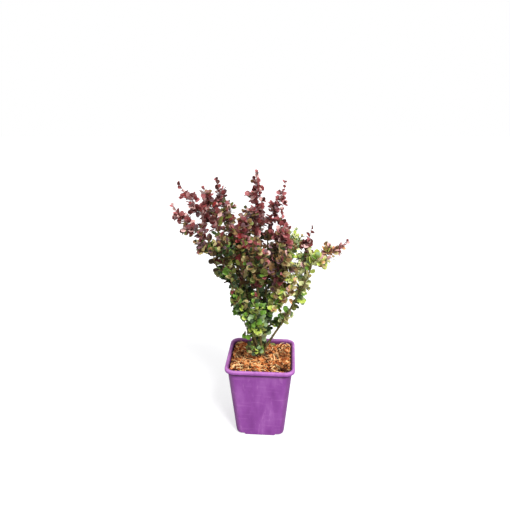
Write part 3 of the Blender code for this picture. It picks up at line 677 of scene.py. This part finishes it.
def side_path(carrier, share, target, lean, droop, count):
    """The path of a side shoot, from the middle of its carrier out to its bark and on to its target,
    and its reach. The curve's last control point stands lean of the reach back from the target and
    droop of it below. At its carrier's end a shoot simply grows on."""
    path, radii = limbs[carrier]
    (middle,), (heading,) = along(path, np.array([share]))
    start = middle
    if share == 1:
        middle = middle - heading * 0.001
    else:
        towards = unit(target - middle)
        out = unit(towards - heading * (towards @ heading))
        start = middle + out * (radii[0] + (radii[-1] - radii[0]) * share)
        heading = unit(swung(heading, out, TWIG_SPREAD))
    reach = np.linalg.norm(target - start)
    first = start + heading * SOCKET
    last = target - (target - start) * lean - UP * reach * droop
    curve = bezier(first, first + heading * reach * 0.35, last, target, count)
    return np.concatenate([[middle, start], curve]), reach


for name, (carrier, share, *end) in BOUGHS.items():
    thick, thin = BOUGH_RADII
    path, reach = side_path(carrier, share, np.array(end) / 1000, 0, 0.30, 38)
    limbs[name] = path, np.concatenate([[thick] * 2, np.linspace(thick, thin, 38)])

boughs = add_mesh("boughs_bark", *limb_tubes(BOUGHS, 12, 0.35), [old_bark], sharp=80)
finish_piece(boughs, "bark", *["bough_" + name for name in BOUGHS])


# The twigs
# Each spray has one leading twig. Side twigs stand round it at the golden angle, in a space that is
# a spindle round the leading twig, and short shoots stand along both, each under a thin spine.

LEAF_REACH = 0.030  # what the CAD's larger leaves take up beyond their twig
LIMB_REACH = 1.9  # how far out of a spray's space the leaves on a stem or bough may stand
STATION = 0.0155  # between side twigs
MIN_TWIG = 0.009
TWIG_CLEARANCE = 0.0135  # a side twig's end stands this far inside its spray's space
SINGLE_ABOVE = 0.76  # the share of a leading twig from where it carries no side twigs
SINGLE_ABOVE_ON = {"spire": 0.88}
FINER_BELOW = 0.78  # how far up a spray twigs also grow halfway between its stations
FINER_LENGTH = 0.82  # of those beside the rest
TWIG_SWEEP = 0.14  # a side twig's rise, as a share of its length
NODE_STEP = 0.0067  # between short shoots
LIMB_STEP = 0.0090  # the same on a stem or bough
BARE_FOOT = 0.05  # of a stem
BARE_BOUGH = 0.15
LEAFY = {"spire": 1.7}  # how much closer its twigs and leaves stand
SMALL_LEAVED = {"spire": 0.88, "right_spire": 0.90}  # size of its leaves beside the rest
# The share of a spray's girth that its twigs and leaves fill, where less than all of it
FILLED = dict(
    spire=0.95, right_spire=0.84, front_low_left=0.74, left_fill=0.76, left_high=0.94,
    low_front=0.84, low_right=0.84, right_under=0.86, front_low_right=0.88,
)
# The share of a spray's short shoots in leaf, where some are bare
IN_LEAF = dict(
    foot=0.38, low_front=0.38, low_right=0.70, low_left=0.68, core_low=0.70, front_low=0.75,
    front_low_right=0.85, right_under=0.80, back_low=0.68, left_fill=0.78,
)
SPACE_SAMPLES = 8
LEADER_RADII = (0.0013, 0.0005)
TWIG_RADII = (0.0007, 0.00035)
# The stem or bough that carries each, how far up it (1 is its end), its furthest tip and girth, in
# mm, and its leaf tints, from foot to tip
SPRAYS = dict(
    left_low=("far_left", 1, -204, -45, 626, 34, "mauve young"),
    left_under=("under_left", 1, -152, -50, 541, 30, "shade brown"),
    left_fill=("far_left", 0.62, -121, -5, 479, 30, "shade"),
    left_high=("left", 1, -202, 20, 667, 32, "young"),
    left_inner=("left_inner", 1, -130, -50, 667, 30, "mauve young"),
    left_centre=("left_centre", 1, -112, 30, 676, 34, "mauve young"),
    centre_left=("centre_left", 1, -43, -16, 607, 36, "red mauve"),
    spire=("centre", 1, -10, 0, 698, 36, "mauve young"),
    right_spire=("right_centre", 1, 58, 20, 671, 34, "young pale"),
    right_short=("right_short", 1, 65, -30, 576, 34, "brown young"),
    right_green=("right", 1, 100, 30, 535, 36, "lime"),
    right_upright=("far_right", 0.90, 123, 4, 565, 26, "lime young"),
    far_right=("far_right", 1, 206, -22, 539, 30, "turning rusty"),
    right_low=("right_low", 1, 173, -36, 503, 28, "lime turning"),
    right_under=("far_right", 0.56, 118, 2, 428, 30, "green lime"),
    front_left=("front_left", 1, -90, -80, 560, 40, "shade brown"),
    front_centre=("front", 1, -3, -110, 566, 42, "shade brown"),
    front_right=("front_right", 1, 66, -94, 529, 40, "brown"),
    front_low=("front", 0.42, -10, -105, 429, 36, "green"),
    front_low_left=("front_left", 0.50, -69, -80, 463, 34, "green shade"),
    front_low_right=("front", 0.62, 87, -60, 449, 34, "green turning"),
    back_left=("back_left", 1, -98, 118, 570, 44, "shade mauve"),
    back_centre=("back", 1, -5, 130, 605, 44, "brown young"),
    back_inner=("back", 0.80, -42, 60, 600, 36, "brown mauve"),
    back_right=("back_right", 1, 88, 112, 530, 44, "green lime"),
    back_low=("back", 0.38, 20, 110, 400, 38, "green shade"),
    back_low_left=("back", 0.50, -70, 90, 430, 36, "green shade"),
    core=("centre", 0.62, 9, -40, 516, 36, "shade coral"),
    core_low=("centre", 0.34, 12, -6, 382, 34, "green"),
    low_left=("left", 0.34, -67, 12, 361, 32, "green"),
    low_right=("right", 0.30, 79, 2, 353, 32, "green lime"),
    low_front=("front_left", 0.26, -42, -55, 343, 32, "green"),
    left_mid=("left", 0.72, -99, 48, 529, 34, "shade brown"),
    right_fill=("right_centre", 0.78, 52, -12, 612, 34, "brown young"),
    right_mid=("right", 0.66, 96, -12, 491, 32, "turning lime"),
    foot=("front", 0.06, -24, -36, 263, 26, "green"),
)
spray_names = ["spray_" + name for name in SPRAYS]


def spindle(t):
    """How wide a spray's space is along its length, beside its girth: 0.42 + 0.58 sin(pi t^0.8)."""
    return 0.42 + 0.58 * np.sin(math.pi * np.clip(t, 0, 1) ** 0.8)


def round_about(heading, angle):
    """Directions square to others, turned about them by an angle from the one nearest the front."""
    front = np.array([0, -1, 0])
    flat = unit(front - heading * (heading @ front)[..., None])
    return swung(flat, np.cross(heading, flat), angle[..., None])


leaders, spaces = [], []
for name, (carrier, share, *tip, girth, _) in SPRAYS.items():
    path, length = side_path(carrier, share, np.array(tip) / 1000, 0.2, 0.2, 30)
    girth = girth / 1000 * FILLED.get(name, 1)
    leaders.append((name, path, length, girth))
    shares = np.linspace(0, 1, SPACE_SAMPLES + 1)
    spaces.append(np.column_stack([along(path[1:], shares)[0], girth * spindle(shares)]))
spaces = np.array(spaces)


def space_shares(points):
    """How far out points are in each spray's space: 0 on its centreline and 1 at its edge."""
    apart = np.linalg.norm(points[:, None, None] - spaces[None, :, :, :3], axis=-1)
    return (apart / spaces[None, :, :, 3]).min(-1)


nodes = []


def add_nodes(spray, place, heading, bearing, size, leaves, t, tip, reach=1.06):
    """Keeps some nodes, where short shoots stand. t is how far up its spray one is, tip is 1 at a
    twig's end, and reach is how far out of the spray's space its leaves may stand."""
    row = spray, place, heading, round_about(heading, bearing), size, leaves, t, tip, reach
    nodes.append([np.broadcast_to(value, place.shape[:1] + np.shape(value)[1:]) for value in row])


def leaf_size(t):
    """Leaf size at a share of the way up a shoot: it falls off quickly at the tip."""
    return 1.10 - 0.32 * t - 0.22 * t**6


leader_paths, side_paths = [], []
for number, (name, path, length, girth) in enumerate(leaders):
    rng = np.random.default_rng(100 + number)
    turn = random.Random(spray_names[number]).uniform(0, math.tau)
    scale = SMALL_LEAVED.get(name, 1)
    own_path = path[1:]
    bare = 1 - 0.004 / length
    cut = along(own_path, np.linspace(0, bare, 26))[0]
    leader_paths.append(np.concatenate([path[:1], cut]))
    # Side twigs at the stations and, a little shorter, halfway between them
    reached = 1 - LEAF_REACH * 0.8 / length
    stations = max(4, round(length * reached / STATION))
    i = np.concatenate([np.arange(stations), np.arange(stations - 1) + 0.5])
    t = reached * (i + 0.6) / stations
    place, heading = along(own_path, t)
    out = round_about(heading, turn + i * GOLDEN_ANGLE)
    room = girth * spindle(t) - TWIG_CLEARANCE * (1.08 - 0.45 * t)
    young = smooth_step((t - 0.45) / 0.4)
    room = room * np.where(i % 1 > 0, FINER_LENGTH, 1.0) * (1 - 0.30 * young)
    spread = TWIG_SPREAD - math.radians(16) * young
    away = unit(swung(heading, out, spread[:, None]))
    shares = space_shares(place + away * room[:, None])
    own = shares[:, number]
    others = np.delete(shares, number, 1).min(1)
    grows = (room > MIN_TWIG) & (own <= 1) & (others >= own * 0.9)
    grows &= (i % 1 == 0) | (t < FINER_BELOW * LEAFY.get(name, 1))
    grows &= t < SINGLE_ABOVE_ON.get(name, SINGLE_ABOVE)
    s = np.linspace(0, 1, 5)[:, None]
    side = place[:, None] + away[:, None] * room[:, None, None] * s
    side = side + UP * (TWIG_SWEEP * room[:, None, None] * s * s)
    side_paths.append(side[grows])
    # Short shoots along each side twig, and one at its end
    for k in np.flatnonzero(grows):
        count = max(2, round(room[k] / (NODE_STEP * 0.95)))
        shares = (np.arange(count) + 0.8) / (count + 0.1)
        spots, headings = along(side[k], shares)
        bearing = rng.uniform(0, math.tau) + np.arange(count) * GOLDEN_ANGLE
        size = scale * leaf_size(t[k]) - 0.08 * shares + rng.normal(0, 0.05, count)
        leaves = rng.integers(2, 5, count) - (t[k] > 0.7)
        add_nodes(number, spots, headings, bearing, size, leaves, t[k] + 0.15 * shares, 0.0)
        size = 0.85 * scale * leaf_size(t[k])
        add_nodes(number, side[k][-1:], headings[-1:], bearing[-1:] + 1, size, 3, t[k] + 0.2, 1.0)
    # Short shoots along the leading twig, opposite the side twigs and between them
    count = max(6, round(length * bare / NODE_STEP * LEAFY.get(name, 1)))
    i = np.arange(count)
    t = (i + 0.7) / count
    t = bare * t * (1 + 0.20 * (t**3 - 1))
    place, heading = along(own_path, t)
    bearing = turn + math.pi + (i * stations / count) * GOLDEN_ANGLE + rng.normal(0, 0.4, count)
    size = scale * leaf_size(t) + rng.normal(0, 0.05, count)
    leaves = np.where(t > 0.80, rng.integers(1, 3, count), rng.integers(2, 5, count))
    add_nodes(number, place, heading, bearing, size, leaves, t, 0.0)
    add_nodes(number, cut[-1:], heading[-1:], bearing[-1:], 0.44, 3, 1.0, 1.0)

# Short shoots straight on the stems and boughs
rng = np.random.default_rng(77)
for name, (path, radii) in limbs.items():
    foot = BARE_FOOT if name in STEMS else BARE_BOUGH
    count = round(distances(path)[-1] * (1 - foot) / LIMB_STEP)
    shares = foot + (1 - foot) * (np.arange(count) + 0.5) / count
    place, heading = along(path, shares)
    bearing = rng.uniform(0, math.tau) + np.arange(count) * GOLDEN_ANGLE
    out = round_about(heading, bearing)
    place = place + out * np.interp(shares, [0, 1], radii[[0, -1]])[:, None]
    spray = space_shares(place).argmin(1)
    size, leaves = 1.02 + rng.normal(0, 0.08, count), rng.integers(2, 4, count)
    add_nodes(spray, place, heading, bearing, size, leaves, 0.25 * shares, 0.0, LIMB_REACH)

nodes = [np.concatenate(column) for column in zip(*nodes)]
spray_of, place, heading, out, _, leaves, t, at_end, _ = nodes

# Young barberry wood: smooth, half-gloss and red-brown, with a few paler lines along it
red_browns = [(0.3, "#3B1E16"), (0.55, "#5F3524"), (0.8, "#85583A")]
young_bark = grained_material(
    "barberry_young_bark", (1400, 2, 0.5), red_browns, stretch=0.08, Roughness=0.5, IOR=1.45
)[0]

leader_paths, side_paths = np.array(leader_paths), np.concatenate(side_paths)
# The spines are single needles, woody and tan, with a dark point
SPINE_LENGTH = 0.0062
SPINE_RADIUS = 0.00028
rng = np.random.default_rng(31)
spined = at_end < 0.5
base = place[spined][:, None]
point = swung(heading[spined], out[spined], rng.uniform(0.9, 1.3, (len(base), 1)))
length = SPINE_LENGTH * rng.uniform(0.6, 1.2, (len(base), 1, 1))
spine_paths = base + point[:, None] * length * np.array([0, 0.5, 1])[:, None]
side_reference = unit(np.cross(side_paths[:, -1] - side_paths[:, 0], UP))
spine_reference = unit(np.cross(point, np.array([0.3, 0.2, 1.0])))
for name, paths, radii, sides, reference in (
    ("leading_twigs", leader_paths, np.linspace(*LEADER_RADII, 27), 6, np.array([[0, 1, 0.05]])),
    ("side_twigs", side_paths, np.linspace(*TWIG_RADII, 5), 5, side_reference),
    ("spines", spine_paths, SPINE_RADIUS * np.array([1.0, 0.6, 0.12]), 3, spine_reference),
):
    radii = np.tile(radii, (len(paths), 1))[..., None]
    twigs = add_mesh(name, *tubes(paths, radii, sides, reference), [young_bark])
    finish_piece(twigs, "bark", *spray_names)


# The leaves
# Small spoon-shaped leaves in whorls of two to four on each short shoot: thin, smooth-edged and
# waxy, folded a little along the midrib, wine red on the young shoots and green in the shade.

LEAF_LENGTH = 0.0182
LEAF_WIDTH = 0.80  # share of the length
LEAF_THICKNESS = 0.00028
LIMB_CLEARANCE = 0.0022
LEAF_APART = 0.0044  # between the middles of two full leaves
FAN_STEP = 0.95  # radians between the leaves of a whorl
LEAN = (0.65, 1.25)  # how far leaves lean out from their twig, in radians
TIP_LEAN = (0.25, 0.75)
CROWDING = 0.70  # how near another spray's middle a leaf may stand, beside its own spray's
# Tints, each the leaf's upper face and its paler, waxier underside
TINTS = dict(
    plum=("#6E4E52", "#8E7678"),
    wine_dark=("#491A15", "#6A3C36"),
    wine=("#7C3838", "#945A58"),
    rose=("#A66062", "#B48280"),
    blush=("#CAA09A", "#CCB2AC"),
    crimson=("#902C2C", "#9A4A46"),
    coral=("#D8746E", "#D09288"),
    bronze=("#785A36", "#90794F"),
    umber=("#3A2C18", "#584632"),
    khaki=("#A89A66", "#B6AC82"),
    peach=("#D09C6C", "#CEB088"),
    olive=("#6A6E32", "#868A56"),
    forest=("#263819", "#4C5C3C"),
    leaf_green=("#669032", "#88A458"),
    lime=("#B2C254", "#BECA78"),
    pale_lime=("#D4D898", "#D0D4A6"),
    grey_green=("#8AA272", "#9CAC8A"),
)
# How often each tint comes up in a group of tints
MIXES = dict(
    young=dict(wine=27, rose=28, plum=7, blush=15, crimson=2, wine_dark=16, bronze=5),
    pale=dict(wine=26, rose=30, plum=7, blush=22, wine_dark=13, bronze=2),
    mauve=dict(wine=14, plum=12, rose=17, bronze=18, blush=9, wine_dark=10, olive=14, khaki=6),
    brown=dict(bronze=24, umber=15, wine=7, plum=8, khaki=12, olive=11, rose=9, forest=12, blush=2),
    rusty=dict(rose=26, blush=24, bronze=8, wine=10, peach=14, khaki=12, lime=6),
    red=dict(crimson=22, wine=14, bronze=20, forest=14, olive=18, rose=12),
    coral=dict(coral=54, rose=14, blush=10, bronze=10, forest=12),
    shade=dict(forest=31, umber=15, olive=16, leaf_green=11, bronze=15, khaki=8, wine=4),
    green=dict(
        leaf_green=29, forest=27, lime=15, olive=7, grey_green=13, khaki=3, pale_lime=3, umber=3
    ),
    lime=dict(lime=26, pale_lime=34, leaf_green=9, peach=8, grey_green=11, khaki=10, blush=2),
    turning=dict(peach=17, bronze=8, lime=18, blush=13, olive=8, khaki=20, umber=2, pale_lime=14),
)
mix_names = list(MIXES)
odds = np.array([[mix.get(tint, 0) for tint in TINTS] for mix in MIXES.values()], float)
odds = np.cumsum(odds / odds.sum(1, keepdims=True), axis=1)


def deal(mixes, rng):
    """A tint for each mix number, by its odds."""
    return (rng.random(len(mixes))[:, None] > odds[mixes]).sum(1).clip(0, len(TINTS) - 1)


rng = np.random.default_rng(5)
foot_mix, tip_mix = (
    np.array([mix_names.index(row[-1].split()[k]) for row in SPRAYS.values()])[spray_of]
    for k in (0, -1)
)
node_mix = np.where(rng.random(len(t)) < smooth_step((t - 0.25) / 0.45), tip_mix, foot_mix)
node_tint = deal(node_mix, rng)

# Every leaf of every whorl, spread about its short shoot's own direction
in_leaf = np.array([IN_LEAF.get(name, 1) for name in SPRAYS])[spray_of]
leaves[rng.random(len(in_leaf)) > in_leaf] = 0
owner = np.repeat(np.arange(len(leaves)), leaves)
count = len(owner)
order = np.arange(count) - (np.cumsum(leaves) - leaves)[owner]
spray_of, foot, heading, out, size, leaves, t, at_end, reach = (column[owner] for column in nodes)
fan = np.where(at_end > 0.5, order * math.tau / leaves, (order - (leaves - 1) / 2) * FAN_STEP)
fan = (fan + rng.normal(0, 0.22, count))[:, None]
lean = np.where(at_end > 0.5, rng.uniform(*TIP_LEAN, count), rng.uniform(*LEAN, count))
lean = (lean * (1 - 0.30 * np.clip(t, 0, 1)))[:, None]
axis = unit(swung(heading, swung(out, np.cross(heading, out), fan), lean))
size = size * np.where(order == 0, 1.0, rng.uniform(0.68, 0.98, count))
length = LEAF_LENGTH * np.clip(size, 0.34, 1.15)
# The face turns to the light: up, out from the middle of the crown, and a little at random
SUN = np.array([0.34, -0.57, 0.75])
outward = (foot - np.array([0, 0.01, 0])) * (1 - UP)
light = UP * 0.35 + unit(outward + 1e-6) * 0.50 + SUN * 0.55 + rng.normal(0, 0.42, (count, 3))
face = unit(light - axis * (light * axis).sum(-1, keepdims=True))
across = np.cross(axis, face)

# A leaf stays in its spray's space, off the limbs, and apart from the other leaves
tip = foot + axis * length[:, None]
middle = foot + axis * length[:, None] * 0.6
shares = space_shares(middle)
own = shares[np.arange(count), spray_of]
shares[np.arange(count), spray_of] = np.inf
kept = (own <= reach) & ((shares.min(1) >= own * CROWDING) | (reach == LIMB_REACH))
bark_points = np.concatenate([np.column_stack([p[::3], r[::3]]) for p, r in limbs.values()])
apart = np.linalg.norm(middle[:, None] - bark_points[:, :3], axis=-1) - bark_points[:, 3]
kept &= apart.min(1) > LIMB_CLEARANCE
kept &= (tip[:, 2] > MULCH_TOP + 0.012) & (middle[:, 2] > POT_HEIGHT)
near = np.linalg.norm(middle[:, None] - middle, axis=-1) < LEAF_APART * length / LEAF_LENGTH
near = np.tril(near, -1)
for k in np.flatnonzero(kept & near.any(1)):
    kept[k] = not (near[k] & kept).any()
own_tint = rng.random(count) < 0.55
tint = np.where(own_tint, deal(node_mix[owner], rng), node_tint[owner])

# A leaf is rings of four points across it, at shares u of its length. Its half width there is
# sin(pi ((u - 0.06) / 0.94)^1.3)^0.62, a near circle on a short stalk.
stations = np.array([0.10, 0.25, 0.45, 0.67, 0.86, 0.96])[:, None]
half_width = np.sin(math.pi * ((stations - 0.06) / 0.94) ** 1.3) ** 0.62
half_width[0] = 0.07


def leaf_shells(chosen, rng):
    """The shape and grain of some leaves.

    A point at share u along and v across, from -1 to 1, is foot + axis l u + across w v + face
    (fold |v| w - curl l u^2 + thickness). The upper and lower midribs, at v = 0, stand a thickness
    apart, and both faces share their margins. Grain is (v, u, number of the leaf)."""
    each = (len(chosen), 1, 1)
    v = np.array([0, 1, 0, -1])
    thick = np.array([1, 0, -1, 0]) * LEAF_THICKNESS / 2
    size = length[chosen][:, None, None]
    half = LEAF_WIDTH / 2 * rng.uniform(0.85, 1.12, each) * size * half_width
    fold = rng.uniform(0.08, 0.36, each)
    curl = rng.normal(0.10, 0.10, each) * size
    wave = rng.normal(0, 0.016, (len(chosen), len(stations), 1)) * size
    lift = fold * abs(v) * half - curl * stations**2 + thick + wave * abs(v)
    start, a, c, f = (vector[chosen][:, None, None] for vector in (foot, axis, across, face))
    rings = start + a * (size * stations + 0 * v)[..., None]
    rings = rings + c * (half * v)[..., None] + f * lift[..., None]
    first = start + a * size[..., None] * 0.01
    last = start + a * size[..., None] - f * curl[..., None]
    leaf = chosen[:, None, None] * 0.61
    grain = np.stack(np.broadcast_arrays(v, stations, leaf), -1)
    ends = [np.stack([0 * chosen, end + 0 * chosen, leaf[:, 0, 0]], -1) for end in (0, 1)]
    return (first[:, 0, 0], rings, last[:, 0, 0]), (ends[0], grain, ends[1])


def leaf_material(name, code, roughness):
    """Waxy leaf skin: a plain tint, a bloom that dulls the gloss in patches 3 mm across, and the
    midrib and side veins sunk in it."""
    material, shader = new_material(name, Base_Color=linear(code), IOR=1.38)
    grain = add_node(material, "Attribute", attribute_name="grain", take="Vector")
    parts = add_node(material, "SeparateXYZ", grain).node.outputs
    off_rib = reckon("ABSOLUTE", parts["X"])
    rib = fit(off_rib, 0, 0.22, 0, 1, interpolation_type="SMOOTHSTEP")
    veins = reckon("MULTIPLY", reckon("MULTIPLY_ADD", off_rib, -0.28, parts["Y"]), 42)
    height = reckon("MULTIPLY_ADD", reckon("SINE", veins), 0.18, rib)
    bloom = noise(add_node(material, "TexCoord", take="Object"), 330, 2)
    set_inputs(
        shader,
        Normal=add_node(material, "Bump", 0.35, 0.0004, Height=height),
        Roughness=fit(bloom, 0.35, 0.65, roughness - 0.08, roughness + 0.12),
    )
    return material


# The cells between the margins and the lower midrib, columns 1 and 2 of the ring, are underside
fan_cells = np.array([False, True, True, False])
cells = np.tile(fan_cells, len(stations) - 1)
underside = np.concatenate([cells, cells, fan_cells, fan_cells])
leaf_rng = np.random.default_rng(9)
for number, (tint_name, (upper, under)) in enumerate(TINTS.items()):
    chosen = np.flatnonzero(kept & (tint == number))
    skins = [
        leaf_material(f"barberry_leaf_{tint_name}", upper, 0.52),
        leaf_material(f"barberry_leaf_{tint_name}_underside", under, 0.62),
    ]
    shape, grain = leaf_shells(chosen, leaf_rng)
    leaves = add_mesh(f"leaves_{tint_name}", shape, grain, skins, underside, sharp=60)
    finish_piece(leaves, "foliage", *[spray_names[k] for k in np.unique(spray_of[chosen])])


# The floor, the light and the camera
# A plain pale floor under an even white sky, with one soft lamp to the right of the camera, and the
# photograph's view: from a little above the crown, and a step away.

FLOOR_HALF = 12.0
FLOOR_GLOW = 0.59
SKY_LIGHT = 0.75
LAMP_LIGHT = 3.5
WHITE = (1, 1, 1, 1)
pale_floor, shader = new_material(
    "pale_matt_floor", Base_Color=(0.42, 0.42, 0.43, 1), Roughness=0.9, Emission_Color=WHITE
)
seen = add_node(pale_floor, "LightPath", take="Is Camera Ray")
set_inputs(shader, Emission_Strength=reckon("MULTIPLY", seen, FLOOR_GLOW))
floor_mesh = bpy.data.meshes.new("floor")
floor_corners = FLOOR_HALF * np.array([(-1, -1, 0), (1, -1, 0), (1, 1, 0), (-1, 1, 0)])
floor_mesh.from_pydata((floor_corners - 0.0002 * UP).tolist(), [], [(0, 1, 2, 3)])
floor_mesh.materials.append(pale_floor)
floor = add_object("floor", floor_mesh)

world = bpy.data.worlds.new("studio")
world.use_nodes = True
sky, surface = (world.node_tree.nodes[name] for name in ("Background", "World Output"))
# The sky is brightest round the lamp, and dims away from it
direction = add_node(world, "TexCoord", take="Generated")
towards = add_node(world, "VectorMath", direction, SUN, operation="DOT_PRODUCT", take="Value")
glow = fit(towards, -0.6, 0.9, SKY_LIGHT * 0.28, SKY_LIGHT * 1.5)
set_inputs(sky, WHITE, glow)
backdrop = add_node(world, "Background", WHITE, 1)
seen = add_node(world, "LightPath", take="Is Camera Ray")
set_inputs(surface, add_node(world, "MixShader", seen, sky.outputs[0], backdrop))
bpy.context.scene.world = world
bpy.context.scene.view_settings.view_transform = "Standard"

lamp_data = bpy.data.lights.new("soft_lamp", "SUN")
lamp_data.angle = math.radians(18)
lamp_data.energy = LAMP_LIGHT
lamp = add_object("soft_lamp", lamp_data)

camera_data = bpy.data.cameras.new("camera")
camera_data.lens = 32
camera_data.sensor_width = 36
camera = add_object("camera", camera_data)
camera.location = (0.0655, -1.0703, 0.8429)
bpy.context.scene.camera = camera


def aim(thing, forward, roll=0.0):
    """Turns a lamp or camera to look along a direction, with its top up but for a roll."""
    turned = Vector(forward).to_track_quat("-Z", "Y") @ Quaternion((0, 0, 1), roll)
    thing.rotation_euler = turned.to_euler()


aim(lamp, -SUN)
aim(camera, (-0.0717, 0.9472, -0.3126), roll=-0.0048)
